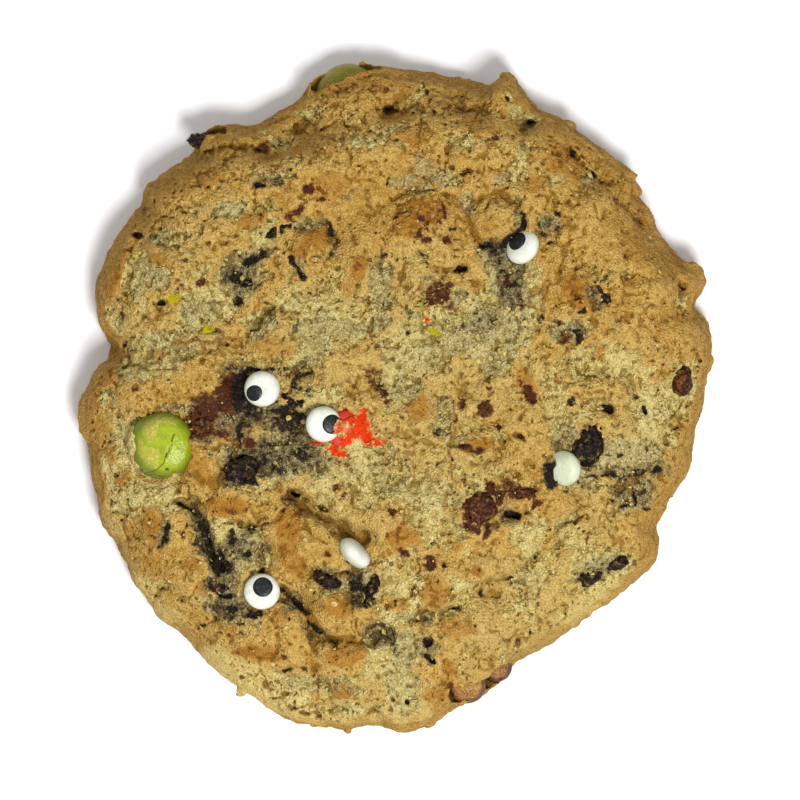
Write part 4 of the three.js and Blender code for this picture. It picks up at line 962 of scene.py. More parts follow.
def new_tree(name: str, kind: str, sockets: tuple[tuple[str, str, str], ...]) -> bpy.types.NodeTree:
    """Makes an empty tree with its sockets.

    Args:
        name: The tree's name.
        kind: Blender's name for its kind.
        sockets: For each socket "INPUT" or "OUTPUT", its kind and its name.

    Returns:
        The tree.
    """
    tree = bpy.data.node_groups.new(name, kind)
    for way, value, label in sockets:
        tree.interface.new_socket(label, in_out=way, socket_type=f"NodeSocket{value}")
    return tree


def grain_tree() -> bpy.types.NodeTree:
    """Makes the group of baked grain on its first call, and finds it again later."""
    if "grain" in bpy.data.node_groups:
        return bpy.data.node_groups["grain"]
    tree = new_tree("grain", "ShaderNodeTree", (
        ("INPUT", "Vector", "Vector"), ("INPUT", "Float", "Fineness"),
        ("OUTPUT", "Float", "Light"), ("OUTPUT", "Float", "Gaps"), ("OUTPUT", "Float", "Height"),
    ))
    n = Nodes(tree)
    given = n.node("NodeGroupInput")
    n.place, fineness = given["Vector"], given["Fineness"]
    feeds = {"Vector": n.place, "Scale": fineness, "Detail": 2.0, "Roughness": 0.75}
    lumps = n.node("ShaderNodeTexNoise", feeds)
    wobble = n.shifted("SCALE", {0: lumps["Color"], "Scale": n.math("DIVIDE", 0.7, fineness)})
    bent = n.shifted("ADD", {0: n.place, 1: wobble})
    cells = n.node("ShaderNodeTexVoronoi", {"Scale": n.times(fineness, 0.8), "Vector": bent})
    near = n.ramp(cells["Distance"], 0.75, 0.1)
    height = n.math("MULTIPLY_ADD", near, 0.55, n.times(lumps["Fac"], 0.45))
    # Light marks the tops of the grain's height and Gaps its hollows. The materials paint highlight on the
    # tops and shade in the hollows, over their own speckle.
    n.node("NodeGroupOutput", {
        "Light": n.ramp(height, 0.52, 0.74), "Gaps": n.ramp(height, 0.44, 0.24), "Height": height,
    })
    return tree


class Finish(Nodes):
    """A material being built around one Principled BSDF."""

    def __init__(self, name: str) -> None:
        """Makes the empty material."""
        self.material = bpy.data.materials.new(name)
        self.material.use_nodes = True
        super().__init__(self.material.node_tree)
        self.surface = self.tree.nodes["Principled BSDF"]
        self.place = self.node("ShaderNodeTexCoord")["Object"]

    def close(self, colour: object, roughness: object, normal: Socket | None = None,
              **constants: float) -> bpy.types.Material:
        """Joins colour, roughness and normal to the surface.

        Args:
            colour: A socket or a colour.
            roughness: A socket or a number.
            normal: The bumped normal, if any.
            **constants: Numbers for the surface's own sockets, with _ for a space.

        Returns:
            The finished material.
        """
        self.put(colour, self.surface.inputs["Base Color"])
        self.put(roughness, self.surface.inputs["Roughness"])
        if normal is not None:
            self.put(normal, self.surface.inputs["Normal"])
        for name, value in constants.items():
            self.surface.inputs[name.replace("_", " ")].default_value = value
        return self.material


# ---------- dough


FRINGE = srgb(210, 190, 122)


@dataclass(frozen=True)
class DoughFinish:
    """Colours of the baked dough, read from the lit crust."""

    # The light colours are painted highlight on grain tops and on what stands proud. The gap colours are
    # painted shade in the grain's gaps and in hollows.
    crust: Colour = srgb(180, 143, 68)
    gold: Colour = srgb(177, 133, 58)
    crust_light: Colour = srgb(206, 172, 98)
    crust_gap_shade: Colour = srgb(124, 86, 16)
    browned: Colour = srgb(150, 100, 32)
    browned_light: Colour = srgb(176, 126, 52)
    rim: Colour = srgb(142, 102, 40)
    rim_light: Colour = srgb(166, 122, 54)
    pale: Colour = srgb(190, 168, 100)
    pale_rim: Colour = srgb(224, 200, 122)
    crumb: Colour = srgb(196, 176, 106)
    crumb_light: Colour = srgb(218, 204, 140)
    crumb_gap_shade: Colour = srgb(126, 102, 36)
    stained: Colour = srgb(150, 138, 92)
    stained_light: Colour = srgb(186, 176, 126)
    stained_gap_shade: Colour = srgb(76, 60, 26)
    sooty: Colour = srgb(66, 50, 34)
    # Painted shade in pinholes and in the dough's hollows.
    pit_shade: Colour = srgb(66, 40, 6)
    # Amber: crack colour, also painted as shade in tears and hairlines.
    amber: Colour = srgb(122, 84, 20)
    chocolate: Colour = srgb(24, 17, 13)
    chocolate_light: Colour = srgb(58, 44, 32)
    red_brown: Colour = srgb(64, 30, 14)
    red_brown_light: Colour = srgb(114, 64, 26)
    scorched: Colour = srgb(146, 88, 30)
    red: Colour = srgb(214, 54, 8)
    yellow: Colour = srgb(170, 156, 10)
    base: Colour = srgb(150, 104, 44)

    def material(self) -> bpy.types.Material:
        """Builds the dough's material: masks from the mesh, grain, pinholes and hairlines from noise."""
        s = Finish("dough")
        fine, coarse = s.grain(0.40 * MM), s.grain(1.3 * MM)
        stray = s.noise(1.1 * MM, 3, 0.7)
        patch = s.noise(8 * MM, 3)
        # raised: convexity of the blurred solid; proud places get painted highlight, sunk places painted
        # shade.
        raised = s.attribute("raised")
        proud, sunk = s.ramp(raised, 0.5, 0.8), s.ramp(raised, 0.48, 0.16)

        def grainy(base: object, light: Colour, gap: Colour, share: float) -> Socket:
            """Lays light grains and dark gaps over a colour, partly speckle and partly painted highlight and
            painted shade; what stands proud is painted lighter, what lies sunk painted darker.
            """
            colour = s.blend(s.math("MAXIMUM", s.times(coarse[0], 0.4), s.times(proud, 0.6)), base, light)
            colour = s.blend(s.times(coarse[1], 0.22 * share), colour, gap)
            colour = s.blend(s.times(fine[0], 0.6 * share), colour, light)
            colour = s.blend(s.times(fine[1], 0.5 * share), colour, gap)
            return s.blend(s.times(sunk, 0.7), colour, gap)

        bloom = s.times(s.attribute("pale"), s.ramp(patch, 0.3, 0.55, 0.5, 1.0))
        base = s.blend(s.ramp(patch, 0.38, 0.62), self.crust, self.gold)
        base = s.blend(bloom, base, self.pale)
        colour = grainy(base, self.crust_light, self.crust_gap_shade, 0.8)
        browned = grainy(self.browned, self.browned_light, self.crust_gap_shade, 0.5)
        colour = s.blend(s.torn("brown", stray, 1.0, 0.45), colour, browned)
        rim = grainy(self.rim, self.rim_light, self.crust_gap_shade, 0.8)
        rimmed = s.times(s.attribute("rim"), s.ramp(stray, 0.3, 0.6, 1.0, 0.7))
        colour = s.blend(rimmed, colour, rim)
        colour = s.blend(s.attribute("base"), colour, self.base)
        crumb = grainy(self.crumb, self.crumb_light, self.crumb_gap_shade, 0.8)
        bare = s.torn("bare", stray, 1.2, 0.16)
        colour = s.blend(bare, colour, crumb)
        # Palest low rim: partly the dough's own colour, partly painted light.
        colour = s.blend(s.attribute("pale_and_lit_rim"), colour, grainy(self.pale_rim, FRINGE, self.crumb_gap_shade, 0.6))
        stained = grainy(self.stained, self.stained_light, self.stained_gap_shade, 1.0)
        stain = s.torn("stain", stray, 1.0, 0.4)
        colour = s.blend(s.times(stain, 0.7), colour, stained)
        soot = s.torn("soot", stray, 1.8, 0.4)
        colour = s.blend(soot, colour, grainy(self.sooty, self.stained, self.chocolate, 0.9))
        colour = s.blend(s.times(s.attribute("frayed"), fine[0]), colour, FRINGE)
        thin = s.ramp(s.noise(3.2 * MM, 2), 0.44, 0.60)
        pricks = s.pinholes(0.72 * MM)
        holes = s.times(pricks, s.math("MAXIMUM", thin, stain))
        # Hairlines and small tears painted amber-brown: partly the crack's own colour, partly painted shade
        # inside them.
        line = s.math("ABSOLUTE", s.math("SUBTRACT", s.noise(3.0 * MM, 4, 0.62), 0.5), 0.0)
        line = s.times(s.ramp(line, 0.013, 0.002), s.ramp(patch, 0.47, 0.56))
        tear = s.torn("tear", stray, 1.0, 0.25)
        colour = s.blend(s.times(s.math("MAXIMUM", tear, line), 0.6), colour, self.amber)
        # Painted shade: pinholes darkened where the crumb is thin or stained.
        colour = s.blend(s.times(holes, 0.85), colour, self.pit_shade)
        # Painted shade in the hollows of the blurred solid.
        colour = s.blend(s.times(s.attribute("cavity_shade"), 0.75), colour, self.pit_shade)
        colour = s.blend(s.torn("yellow", stray, 0.8, 0.3), colour, self.yellow)
        colour = s.blend(s.torn("red", stray, 1.4, 0.3), colour, self.red)
        halo = s.ramp(s.attribute("red_brown"), 0.0, 0.6, 0.0, 0.7)
        colour = s.blend(s.times(halo, s.ramp(stray, 0.3, 0.6)), colour, self.scorched)
        # The chocolate and red-brown marks are lighter on grain tops, partly as painted highlight.
        maroon = s.torn("red_brown", stray, 1.9, 0.35)
        colour = s.blend(maroon, colour, s.blend(s.times(fine[0], 0.7), self.red_brown, self.red_brown_light))
        dark = s.torn("dark", stray, 1.9, 0.35)
        colour = s.blend(dark, colour, s.blend(s.times(fine[0], 0.6), self.chocolate, self.chocolate_light))
        rough = s.ramp(s.math("MAXIMUM", dark, maroon), 0.4, 1.0, 0.9, 0.5)
        height = s.math("MULTIPLY_ADD", coarse[2], 0.6, s.times(fine[2], 0.8))
        return s.close(colour, rough, s.bump(height, 0.40 * MM), Specular_IOR_Level=0.14)


@dataclass
class Dough:
    """The baked dough: a volume grown from the cookie's solid, then given its crust and crumb.

    Attributes:
        voxel: Edge of a cell of the volume.
        margin: Empty room kept round the solid.
        softening: How far the solid's facets are evened out.
        growth: How far the evened form is let out again.
        most_triangles: Each of the two meshes is thinned to this many.
        candy_gap: Room left round each sweet.
        chunk_gap: The same round chocolate, where the dough reaches in instead.
        lip: How thick dough lies over a sweet.
        crown_inset: How far in from the outline the crown starts.
        crown_thickness: How thick the crown is.
        seam: Width over which crown and rim pass through each other.
        tear_depth: How deep the small tears of the crust are.
        crust_rise: How far the whole crust stands over bare crumb.
        stain_dip: How far the dough has sunk under melted chocolate.
    """

    voxel: float = 0.34
    quick_voxel: float = 0.7
    margin: float = 2.6
    softening: float = 0.6
    growth: float = 0.3
    most_triangles: int = 195_000
    candy_gap: float = 0.1
    chunk_gap: float = -0.5
    lip: float = 0.5
    crown_inset: float = 5.0
    crown_thickness: float = 2.4
    seam: float = 1.6
    tear_depth: float = 0.55
    crust_rise: float = 0.48
    stain_dip: float = 0.25

    def __post_init__(self) -> None:
        """Lays out the volume round the cookie's box."""
        low, high = node_box(DOUGH_NODE)
        self.axes = [
            np.arange(low[a] - self.margin, high[a] + self.margin, self.voxel) for a in range(3)
        ]
        self.shape = (len(self.axes[0]), len(self.axes[1]))
        self.plan = np.stack(np.meshgrid(*self.axes[:2], indexing="ij"), -1).reshape(-1, 2)
        self.toppings = sorted(name for name in frame["nodes"] if name != DOUGH_NODE)

    def build(self) -> list[bpy.types.Object]:
        """Grows the dough and dresses it.

        Returns:
            The rim with the base, and the crown.
        """
        self.lay_out_plan()
        finish = DoughFinish().material()
        pieces = []
        for name, depth in zip(("dough", "crust"), self.volumes()):
            points, faces = surface_of(depth, self.axes)
            piece = link_mesh(name, points * MM, faces, finish)
            thin_out(piece, self.most_triangles)
            self.paint(piece.data)
            pieces.append(piece)
        return pieces

    def lay_out_plan(self) -> None:
        """Works out the maps over the plan: heights, relief, where the crust holds and the crown."""
        plan, shape = self.plan, self.shape
        self.top, self.under = self.heights()
        filled = ~np.isnan(self.top)
        radius = np.hypot(plan[:, 0], plan[:, 1])
        turns = 720
        bins = ((np.arctan2(plan[:, 1], plan[:, 0]) / (2 * math.pi) + 1) * turns).astype(int) % turns
        reach = np.zeros(turns)
        inside = filled.ravel()
        np.maximum.at(reach, bins[inside], radius[inside])
        self.inward = (reach[bins] - radius).astype(np.float32)
        cracks = covered(CRACKS, plan) + covered(HOLES, plan)
        self.bareness = self.torn_open(plan)
        tears = self.tears(plan)
        self.torn_deep = tears.reshape(shape)
        plates = np.maximum(covered(DOMES, plan), covered(FLAPS, plan))
        self.coarse = (plates - cracks).reshape(shape)
        fine = -self.tear_depth * tears
        fine += self.crust_rise * smooth(0.58, 0.36, self.bareness) - 0.15
        fine += 0.20 * noise(plan, 3.1, 21) + 0.10 * noise(plan, 1.5, 22)
        fine -= self.stain_dip * covered(DARK, plan)
        ragged = 0.25 * noise(plan, 0.9, 24)
        self.lips = (1.6 * (covered(LIPS, plan) - 0.5) + ragged).reshape(shape)
        self.bared = (1.6 * (covered(BARED, plan) - 0.5) + ragged).reshape(shape)
        self.fine = fine.reshape(shape)
        slope = np.hypot(*np.gradient(np.nan_to_num(self.top, nan=0.0), self.voxel))
        slope = soften(slope.astype(np.float32), 0.7 / self.voxel)
        self.onto = smooth(2.4, 1.1, slope) * filled
        self.inside_crown = (
            self.inward - self.crown_inset + 1.2 * layered(plan, 9.0, 81, 3)
        ).reshape(shape) / self.seam

    def heights(self) -> tuple[Array, Array]:
        """Reads the solid's top and underside over the plan, with the topping pockets filled.

        Returns:
            Height of the top and of the underside at each place; both are nan off the cookie.
        """
        dough = solid_tree(DOUGH_NODE)
        count = len(self.plan)
        top, under = np.full(count, np.nan), np.full(count, np.nan)
        down, up = Vector((0, 0, -1)), Vector((0, 0, 1))
        above, below = 60.0, -10.0
        for n, (x, y) in enumerate(self.plan):
            hit = dough.ray_cast(Vector((x, y, above)), down)[0]
            if hit is not None:
                top[n] = hit.z
                under[n] = dough.ray_cast(Vector((x, y, below)), up)[0].z
        hidden = np.zeros(count, bool)
        for name in self.toppings:
            tree = solid_tree(name)
            low, high = node_box(name)
            near = ((self.plan > low[:2] - 0.1) & (self.plan < high[:2] + 0.1)).all(1)
            for n in np.flatnonzero(near):
                hit = tree.ray_cast(Vector((*self.plan[n], above)), down)[0]
                hidden[n] |= hit is not None and hit.z > top[n]
        top, under, hole = (values.reshape(self.shape) for values in (top, under, hidden))
        solid = ~np.isnan(top)
        grown, spanned = 0.9, 90
        for _ in range(math.ceil(grown / self.voxel)):
            hole = hole | sum(np.roll(hole, s, a) for a in (0, 1) for s in (1, -1)).astype(bool)
        hole &= solid
        filled, weight = np.where(solid & ~hole, top, 0.0), (solid & ~hole).astype(float)
        for _ in range(int(spanned / self.voxel)):
            near_sum = sum(np.roll(filled * weight, s, a) for a in (0, 1) for s in (1, -1))
            near_weight = sum(np.roll(weight, s, a) for a in (0, 1) for s in (1, -1))
            update = hole & (near_weight > 0)
            filled = np.where(update, near_sum / np.maximum(near_weight, 1e-9), filled)
            weight = np.where(update, 1.0, weight)
        return np.where(solid, filled, np.nan), under

    def torn_open(self, plan: Array) -> Array:
        """Says where the golden crust has torn open to the crumb, 1, and where it holds, 0."""
        whole = layered(plan, 6.5, 3, 4) + 0.35 * noise(plan, 17.0, 8)
        edge = 0.25 * noise(plan, 0.9, 11) + 0.15 * noise(plan, 0.45, 12)
        mounds = np.maximum(covered(BROWNED, plan), covered(DOMES, plan))
        bare = covered(GREY, plan)
        pale = covered(PALE, plan)
        return smooth(-0.02, -0.30, whole + edge + 0.22 + 0.8 * mounds - 0.9 * bare - 0.3 * pale)

    def tears(self, plan: Array) -> Array:
        """Says how deep the small random tears of the crust are, 0 to 1."""
        total = np.zeros(len(plan), np.float32)
        for across, widest, seed in ((8.5, 0.42, 101), (4.4, 0.30, 131), (2.3, 0.2, 161)):
            width = widest * (0.9 * noise(plan, 1.1 * across, seed + 20) + 0.5 * noise(plan, 1.3, seed + 21))
            away = tear_distance(plan, across, seed)
            total = np.maximum(total, smooth(0.12, -0.16, away - np.maximum(width, -1)))
        return total

    def volumes(self) -> tuple[Array, Array]:
        """Builds the two signed volumes: millimetres inside the dough, negative outside it."""
        up = self.axes[2][None, None, :]
        # Depth from a blurred step: the power law stands for the inverse of the bell curve's sum.
        inside = np.clip((np.nan_to_num(self.top, nan=-99)[..., None] - up) / self.voxel + 0.5, 0, 1)
        inside *= np.clip((up - np.nan_to_num(self.under, nan=99)[..., None]) / self.voxel + 0.5, 0, 1)
        inside = soften(inside.astype(np.float32), self.softening / self.voxel)
        chance = np.clip(inside, 1e-4, 1 - 1e-4)
        base = self.softening * (chance**0.135 - (1 - chance) ** 0.135) / 0.1975
        base = base.astype(np.float32)
        sides = smooth(0.4, 3.0, self.axes[2]).astype(np.float32)
        base += self.growth * sides
        self.add_knobs(base)
        spread = (covered(RIM_OUT, self.plan) - covered(RIM_IN, self.plan)).reshape(self.shape)
        spread = soften(spread, 1.2 / self.voxel)
        base += spread[..., None] * sides
        high = smooth(2.0, 8.0, self.axes[2]).astype(np.float32)
        base += (self.coarse * self.onto)[..., None] * high
        near = np.flatnonzero((np.abs(base) < 1.5) & (self.axes[2] > 0.3))
        i, j, k = np.unravel_index(near, base.shape)
        spots = np.stack([self.axes[0][i], self.axes[1][j], self.axes[2][k]], 1)
        full = base.copy()
        onto = self.onto[i, j] * high[k]
        full.ravel()[near] += self.fine[i, j] * onto + self.crumb(spots, onto, (i, j))
        share = self.inside_crown[..., None]
        rest = base - 0.45 - 0.35 * smooth(1.0, 1.6, share)
        rim = np.where(share < 1, full - 0.5 * np.clip(share, 0, 1) ** 2, rest)
        crown = full - 0.5 * (1 - np.clip(share, 0, 1)) ** 2
        crown = np.minimum(np.minimum(crown, self.crown_thickness - base), (share + 0.4) * self.seam)
        crown[:, :, self.axes[2] < 4.0] = -1
        for depth in (rim, crown):
            self.cut_toppings(depth)
        self.solid = np.maximum(full, 0) > 0
        return rim, crown

    def add_knobs(self, depth: Array) -> None:
        """Joins the small knobs of dough to the rim."""
        for middle, half, turn in KNOBS:
            angle = math.radians(turn)
            reach = max(half) + 1.5
            cut = tuple(
                slice(*np.searchsorted(ax, (middle[a] - reach, middle[a] + reach)))
                for a, ax in enumerate(self.axes)
            )
            x, y, z = np.meshgrid(*(ax[c] - m for ax, c, m in zip(self.axes, cut, middle)), indexing="ij")
            along = (x * math.cos(angle) + y * math.sin(angle)) / half[0]
            across = (y * math.cos(angle) - x * math.sin(angle)) / half[1]
            lump = (1 - np.sqrt(along**2 + across**2 + (z / half[2]) ** 2)) * min(half)
            depth[cut] = np.maximum(depth[cut], lump)

    def crumb(self, spots: Array, onto: Array, at: tuple[Array, Array]) -> Array:
        """Adds the crumb's lumps and pores, which are finer where the crust has torn.

        Args:
            spots: N by 3 places in the volume.
            onto: How far each belongs to the top.
            at: Their numbers along the plan's axes.

        Returns:
            N heights to add, in millimetres.
        """
        bare = self.bareness.reshape(self.shape)[at] * onto
        side = 1 - onto
        flat = smooth(0.3, 1.6, spots[:, 2])
        bend = np.stack([noise(spots, 1.3, seed) for seed in (91, 92, 93)], 1) * 0.35
        away, _ = nearest_cell(spots + bend, 1.9, 200)
        lumps = (0.50 * bare + 0.05) * (0.75 - away / 1.1)
        away, own = nearest_cell(spots + bend, 1.15, 220)
        lumps += (0.24 * bare + 0.04) * (0.45 - away / 0.8) + 0.12 * noise(spots, 0.75, 94)
        size = 0.20 + 0.36 * own**4 + 0.2 * bare * own**2 - 0.16 * side
        pores = smooth(0.2, -0.15, away - size) * (drawn_share(own) < 0.5 + 0.3 * bare)
        away, own = nearest_cell(spots + 2 * bend, 2.9, 240)
        size = 0.15 + 0.75 * own**5 + 0.25 * bare * own**3
        pores = np.maximum(pores, smooth(0.25, -0.2, away - size) * (1 - 0.6 * side))
        angle = np.arctan2(spots[:, 1], spots[:, 0]) * 60
        radius = np.hypot(spots[:, 0], spots[:, 1])
        along = np.stack([radius * 1.6 + spots[:, 2], angle / 3.2, spots[:, 2] * 1.3], 1)
        creases = 0.42 * noise(along, 2.2, 71) + 0.25 * noise(spots, 1.2, 72)
        return (lumps - 0.75 * pores) * flat + side * creases * flat

    def cut_toppings(self, depth: Array) -> None:
        """Hollows the dough round every topping, and laps it over the sweets where it has crept up."""
        for name in self.toppings:
            tree = solid_tree(name)
            low, high = node_box(name)
            sweet = not name.startswith("chunk")
            gap = self.candy_gap if sweet else self.chunk_gap
            middle = (low[2] + high[2]) / 2
            high = high + (0, 0, 3.0)
            cut = tuple(
                slice(*np.searchsorted(ax, (low[a] - 1.0, high[a] + 1.0)))
                for a, ax in enumerate(self.axes)
            )
            part = depth[cut]
            firsts = [c.start for c in cut]
            lips, bared = self.lips[cut[:2]], self.bared[cut[:2]]
            lapped = (lips > -0.4)[..., None] & sweet
            for i, j, k in zip(*np.nonzero((part > -0.6) | lapped)):
                spot = Vector([self.axes[a][firsts[a] + n] for a, n in enumerate((i, j, k))])
                near, normal, _, distance = tree.find_nearest(spot)
                outside = distance if (spot - near).dot(normal) > 0 else -distance
                kept = min(part[i, j, k], outside - gap)
                if sweet:
                    kept = max(kept, min(lips[i, j], self.lip - outside))
                if bared[i, j] > 0 and spot.z > middle:
                    kept = min(kept, -bared[i, j])
                part[i, j, k] = kept

    def paint(self, mesh: bpy.types.Mesh) -> None:
        """Gives every point of the dough its masks."""
        spots = points_of(mesh) / MM
        plan = spots[:, :2]
        facing = normals_of(mesh)[:, 2]
        at = tuple(
            np.clip(((spots[:, a] - steps[0]) / self.voxel).round().astype(int), 0, len(steps) - 1)
            for a, steps in enumerate(self.axes[:3])
        )
        upper = smooth(3.5, 7.5, spots[:, 2]) * self.onto[at[:2]]
        bare = self.bareness.reshape(self.shape)[at[:2]]
        inward = self.inward.reshape(self.shape)[at[:2]]
        angle = np.arctan2(plan[:, 1], plan[:, 0])
        # Rim browning grows towards +Y: partly baked browning, partly painted shade on the side turned from
        # the key light.
        top_side_browning_and_shade = smooth(-1.1, 0.9, np.cos(angle - math.radians(95)))
        edge = smooth(9.0, 1.0, inward + 2.5 * noise(plan, 5.0, 72)) * (0.35 + 0.65 * top_side_browning_and_shade)
        solid = self.solid.astype(np.float32)
        close = soften(solid, 0.5 / self.voxel)[at]
        wide = soften(solid, 1.6 / self.voxel)[at]
        mark_points(mesh, {
            "bare": bare * upper,
            "frayed": 4 * bare * (1 - bare) * upper,
            # Convexity of the blurred solid, for painted highlight on what stands out and painted shade in
            # hollows.
            "raised": np.clip(0.5 + 1.9 * (0.53 - wide) + 1.2 * (0.53 - close), 0, 1),
            "upper": upper,
            "stain": covered(GREY, plan) * upper,
            "pale": covered(PALE, plan) * smooth(1.0, 4.0, spots[:, 2]),
            # Palest low rim: partly the dough's own colour, partly painted light.
            "pale_and_lit_rim": covered(PALE_AND_LIT_RIM, plan) * smooth(0.8, 2.5, spots[:, 2]),
            "soot": covered(SOOT, plan) * upper,
            "tear": self.torn_deep[at[:2]] * upper,
            "brown": covered(BROWNED, plan) * upper,
            "dark": covered(DARK, plan) * upper,
            "red_brown": covered(RED_BROWN, plan) * upper,
            "red": covered(RED_STAIN, plan) * upper,
            "yellow": covered(YELLOW_STAIN, plan) * upper,
            "rim": np.maximum(edge * 0.8, 0.6 * (1 - upper)) * smooth(-0.7, 0.2, facing),
            "base": smooth(3.5, 0.5, spots[:, 2]) * 0.85,
            # Hollows of the blurred solid, where the material paints shade.
            "cavity_shade": smooth(0.60, 0.86, close) * smooth(1.5, 4.0, spots[:, 2]) * 0.9,
        })


def drawn_share(own: Array) -> Array:
    """Turns a middle's own number into a second one that doesn't follow it."""
    return (own * 517.13) % 1.0


# ---------- candy


@dataclass(frozen=True)
class Seat:
    """Where a pressed sweet sits, in millimetres.

    Attributes:
        centre: Its middle.
        turn: Three columns: two directions in its plane, then its axis, which looks up.
        radius: Its radius.
        half_height: Half its thickness.
    """

    centre: Array
    turn: Array
    radius: float
    half_height: float

    @classmethod
    def of(cls, node: str) -> "Seat":
        """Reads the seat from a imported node's points."""
        points = points_of(frame["nodes"][node].data) / MM
        centre = (points.min(0) + points.max(0)) / 2
        spread = points - centre
        axis = np.linalg.eigh(spread.T @ spread)[1][:, 0]
        axis *= np.sign(axis[2])
        side = np.cross((0, 1, 0), axis)
        side /= np.linalg.norm(side)
        turn = np.stack([side, np.cross(axis, side), axis], 1)
        local = spread @ turn
        reach = float(np.hypot(local[:, 0], local[:, 1]).max())
        return cls(centre, turn, reach, float(np.abs(local[:, 2]).max()))

    def placed(self, points: Array) -> Array:
        """Moves points from the sweet's own frame to its seat."""
        return self.centre + points @ self.turn.T


def tablet(seat: Seat, squareness: float, sides: int, rings: int) -> tuple[Array, Array]:
    """Makes a pressed sweet round the origin.

    Args:
        seat: Its radius and thickness.
        squareness: 1 gives a lens, less a tablet with rounded edges.
        sides: Points round each ring.
        rings: Rings from pole to pole, evenly along its outline.

    Returns:
        Points in millimetres, and triangles that look outwards.
    """
    angle = np.linspace(-math.pi / 2, math.pi / 2, 901)
    out = seat.radius * np.clip(np.cos(angle), 0, 1) ** squareness
    up = seat.half_height * np.sin(angle)
    run = np.concatenate([[0], np.cumsum(np.hypot(np.diff(out), np.diff(up)))])
    at = np.linspace(0, run[-1], rings + 2)
    out, up = np.interp(at, run, out)[1:-1], np.interp(at, run, up)[1:-1]
    turn = np.arange(sides) * 2 * math.pi / sides
    ring = np.stack([np.outer(out, np.cos(turn)), np.outer(out, np.sin(turn)),
                     np.repeat(up[:, None], sides, 1)], -1).reshape(-1, 3)
    poles = np.array([[0, 0, -seat.half_height], [0, 0, seat.half_height]])
    near = np.arange(sides)
    far = (near + 1) % sides
    faces = [np.stack([np.full(sides, len(ring)), far, near], 1)]
    for row in range(rings - 1):
        a, b = near + row * sides, far + row * sides
        faces += [np.stack([a, b, b + sides], 1), np.stack([a, b + sides, a + sides], 1)]
    last = (rings - 1) * sides
    faces.append(np.stack([near + last, far + last, np.full(sides, len(ring) + 1)], 1))
    return np.vstack([ring, poles]), np.concatenate(faces)


@dataclass(frozen=True)
class SugarFinish:
    """Pressed white sugar, faintly mottled, with painted shade on its lower edge and in its grain's gaps."""

    name: str = "white_sugar"
    base: Colour = srgb(222, 224, 214)
    shade: Colour = srgb(204, 208, 188)
    # Painted shade on the lower edge and in the grain's gaps.
    painted_shade: Colour = srgb(176, 172, 142)

    def material(self) -> bpy.types.Material:
        """Builds the sugar's material."""
        s = Finish(self.name)
        _, gaps, height = s.grain(0.45 * MM)
        colour = s.blend(s.ramp(s.noise(2.6 * MM, 3), 0.42, 0.68), self.base, self.shade)
        # Painted shade on the tablet's lower edge, where it turns under towards the dough.
        colour = s.blend(s.times(s.attribute("low"), 0.75), colour, self.painted_shade)
        colour = s.blend(s.times(gaps, 0.12), colour, self.painted_shade)
        return s.close(colour, 0.42, s.bump(height, 0.03 * MM), Specular_IOR_Level=0.4)


@dataclass(frozen=True)
class IcingFinish:
    """Dark set icing, with a mottled skin."""

    base: Colour = srgb(16, 22, 22)
    skin: Colour = srgb(38, 50, 46)

    def material(self) -> bpy.types.Material:
        """Builds the icing's material."""
        s = Finish("black_icing")
        light, _, height = s.grain(0.5 * MM)
        colour = s.blend(s.times(light, 0.8), self.base, self.skin)
        return s.close(colour, 0.42, s.bump(height, 0.05 * MM), Specular_IOR_Level=0.35)


@dataclass
class CandyEyes:
    """The six candy eyes: tablets of pressed sugar, four of them with a dot of icing.

    Attributes:
        squareness: Of a tablet's outline.
        sides: Points round a tablet.
        rings: Rings of a tablet.
        swelling: How far an eye stands out past its packed facets, in millimetres.
        waxy: The eye without a dot whose sugar has gone dull.
    """

    squareness: float = 0.55
    sides: int = 72
    rings: int = 36
    swelling: float = 0.08
    waxy: str = "eye_4"

    def build(self) -> list[tuple[bpy.types.Object, str, str]]:
        """Makes every eye and dot; each comes with its slot and its node."""
        white = SugarFinish().material()
        dull = SugarFinish("dull_sugar", srgb(196, 202, 172), srgb(172, 178, 148)).material()
        icing = IcingFinish().material()
        made = []
        for node in sorted(frame["nodes"]):
            if node.startswith("eye"):
                finish = dull if node == self.waxy else white
                made.append((self.sweet(node, f"sugar_{node}", finish, 1.9), "white_sugar", node))
            elif node.startswith("pupil"):
                made.append((self.sweet(node, f"icing_{node}", icing, 1.2), "black_icing", node))
        return made

    def sweet(self, node: str, name: str, finish: bpy.types.Material, lump: float) -> bpy.types.Object:
        """Makes one tablet or dot.

        Args:
            node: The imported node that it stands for.
            name: The piece's name.
            finish: Its material.
            lump: Width of the unevenness of its surface, in millimetres.

        Returns:
            The piece.
        """
        seat = Seat.of(node)
        points, faces = tablet(seat, self.squareness, self.sides, self.rings)
        rim = np.clip(np.hypot(points[:, 0], points[:, 1]) / seat.radius, 0, 1)
        # low: the tablet's lower edge, where its material paints shade.
        low = smooth(0.25, -0.7, points[:, 2] / seat.half_height) * smooth(0.6, 1.0, rim)
        away = points / np.maximum(np.linalg.norm(points, axis=1), 1e-6)[:, None]
        uneven = self.swelling + 0.05 * noise(points + seat.centre, lump, 61)
        points = points + away * uneven[:, None]
        piece = link_mesh(name, seat.placed(points) * MM, faces, finish)
        mark_points(piece.data, {"low": low})
        return piece


SKIN, SKIN_GAP_SHADE, SKIN_LIGHT = srgb(166, 118, 52), srgb(104, 70, 28), srgb(190, 146, 78)
SHELL_GAP = srgb(22, 20, 6)
STUCK_CRUMB = srgb(140, 116, 66)


